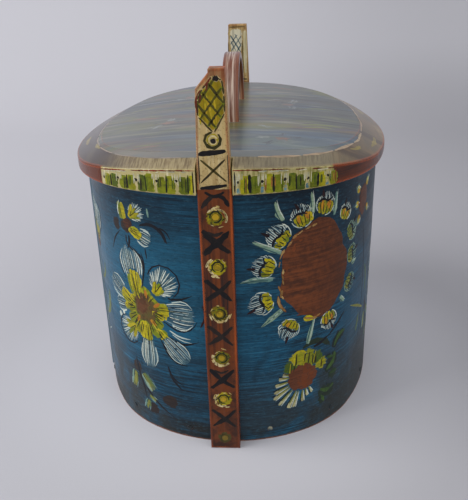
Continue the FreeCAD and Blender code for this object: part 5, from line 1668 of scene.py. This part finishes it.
class TINE_OT_stage(FinishOperator, bpy.types.Operator):
    """Set up the floor, lamps and camera"""

    bl_idname = "tine.stage"
    bl_label = "Stage"

    def execute(self, context):
        stage = context.scene.tine_stage
        clear_selection()
        front, width, height = 3.5, 9.0, 3.0
        bpy.ops.mesh.primitive_plane_add(size=1.0, location=(0, (stage.sweep_start - front) / 2, 0))
        floor = context.object
        floor.name = "floor"
        floor.scale = (width, stage.sweep_start + front, 1.0)
        bpy.ops.object.transform_apply(location=True, rotation=False, scale=True)
        for edge in floor.data.edges:
            edge.select = all(floor.data.vertices[v].co.y > 0 for v in edge.vertices)
        for point in floor.data.vertices:
            point.select = point.co.y > 0
        for face in floor.data.polygons:
            face.select = False
        bpy.ops.object.mode_set(mode="EDIT")
        bpy.ops.mesh.select_mode(type="EDGE")
        bpy.ops.mesh.spin(steps=24, angle=math.pi / 2, center=(0, stage.sweep_start, stage.sweep_radius),
                          axis=(-1, 0, 0))
        bpy.ops.mesh.extrude_region_move(TRANSFORM_OT_translate={"value": (0, 0, height)})
        bpy.ops.object.mode_set(mode="OBJECT")
        bpy.ops.object.shade_smooth()
        material, shader, here = new_material("floor_cloth")
        weave = noise(here, 900.0, 2.0)
        shade = blend(step(weave, 0.3, 0.7), [c * 0.97 for c in stage.floor], stage.floor)
        x, y, z = split(here)
        reach = calc("SQRT", add(mul(x, x), mul(y, y)))
        away = step(reach, 1.9, 3.2)
        shade = blend(step(y, 0.0, 1.2), shade, stage.backdrop)
        # painted shadow: floor and backdrop darker to the right of the box
        right = mul(step(x, -0.20, 0.46), lerp(step(z, 0.0, 0.15), 0.95, 0.48))
        right = mul(right, calc("SUBTRACT", 1.0, away))
        shade = blend(right, shade, [c * 0.72 for c in stage.floor])
        # painted shade: the floor darker in front, on the right
        near = mul(step(y, -0.17, -0.40), step(x, -0.25, 0.0))
        shade = blend(mul(near, 0.75), shade, [c * 0.8 for c in stage.floor])
        # painted light: the floor round the box's foot made lighter
        painted_light_at_foot = mul(step(reach, 0.25, 0.13), 0.9)
        shade = blend(painted_light_at_foot, shade, [c * 1.2 for c in stage.floor])
        # painted light: the far floor and backdrop made brighter where the lamps' light falls off
        shade = blend(away, shade, (1.15, 1.15, 1.15), "MULTIPLY")
        put(shader.inputs["Base Color"], shade)
        shader.inputs["Roughness"].default_value = 0.9
        floor.data.materials.append(material)

        for name, place, power, size in (
            ("key_lamp", (-1.5, -0.5, 1.5), stage.key_power, 1.2),
            ("fill_lamp", (1.2, -0.9, 1.0), stage.fill_power, 1.2),
            ("back_lamp", (-1.4, 0.1, 1.5), stage.back_power, 1.0),
        ):
            bpy.ops.object.light_add(type="AREA", location=place)
            lamp = context.object
            lamp.name = name
            lamp.data.energy = power
            lamp.data.size = size
            aim = Vector((-0.3, 1.5, 0.5) if name == "back_lamp" else (0, 0, 0.1))
            lamp.rotation_euler = (aim - Vector(place)).to_track_quat("-Z", "Y").to_euler()

        world = bpy.data.worlds.new("studio")
        world.use_nodes = True
        context.scene.world = world
        back = world.node_tree.nodes["Background"]
        lay_out(world.node_tree)
        ray = add_node("LightPath").outputs
        seen = calc("MAXIMUM", ray["Is Camera Ray"],
                    calc("MAXIMUM", ray["Is Glossy Ray"], ray["Is Transmission Ray"]))
        put(back.inputs[0], blend(seen, (0.97, 0.98, 1.0), [c * 1.025 for c in stage.backdrop]))
        back.inputs[1].default_value = stage.sky

        pitch, yaw, roll = stage.camera_pitch, stage.camera_yaw, stage.camera_roll
        ahead = Vector((math.sin(yaw) * math.cos(pitch), math.cos(yaw) * math.cos(pitch), -math.sin(pitch)))
        right = Vector((math.cos(yaw), -math.sin(yaw), 0))
        up = right.cross(ahead)
        right, up = (math.cos(roll) * right + math.sin(roll) * up, math.cos(roll) * up - math.sin(roll) * right)
        bpy.ops.object.camera_add()
        camera = context.object
        camera.name = "camera"
        turn = Matrix((right, up, -ahead)).transposed()
        camera.matrix_world = Matrix.Translation(Vector(stage.camera_place)) @ turn.to_4x4()
        camera.data.sensor_width = 36.0
        camera.data.sensor_fit = "AUTO"
        camera.data.lens = stage.lens
        camera.data.clip_start = 0.01
        context.scene.camera = camera
        context.scene.view_settings.view_transform = "Standard"
        clear_selection()
        return {"FINISHED"}


OPERATORS = (TINE_OT_stage, TINE_OT_blanks, TINE_OT_band, TINE_OT_posts, TINE_OT_lid, TINE_OT_band_flowers,
             TINE_OT_post_paint, TINE_OT_rim_paint, TINE_OT_lid_paint)


class TINE_PT_panel(bpy.types.Panel):
    """Lists the steps and the settings"""

    bl_idname = "TINE_PT_panel"
    bl_label = "Bentwood box"
    bl_space_type = "VIEW_3D"
    bl_region_type = "UI"
    bl_category = "Bentwood box"

    def draw(self, context):
        for operator in OPERATORS:
            self.layout.operator(operator.bl_idname)
        for group in (context.scene.tine_paints, context.scene.tine_sizes, context.scene.tine_stage):
            box = self.layout.box()
            for name in group.__annotations__:
                box.prop(group, name)


def register():
    for cls in (*GROUPS, *OPERATORS, TINE_PT_panel):
        bpy.utils.register_class(cls)
    bpy.types.Scene.tine_paints = bpy.props.PointerProperty(type=TINE_PG_paints)
    bpy.types.Scene.tine_sizes = bpy.props.PointerProperty(type=TINE_PG_sizes)
    bpy.types.Scene.tine_stage = bpy.props.PointerProperty(type=TINE_PG_stage)


def unregister():
    del bpy.types.Scene.tine_stage
    del bpy.types.Scene.tine_sizes
    del bpy.types.Scene.tine_paints
    for cls in reversed((*GROUPS, *OPERATORS, TINE_PT_panel)):
        bpy.utils.unregister_class(cls)


def main():
    register()
    for operator in OPERATORS:
        group, name = operator.bl_idname.split(".")
        getattr(getattr(bpy.ops, group), name)()


if __name__ == "__main__":
    main()
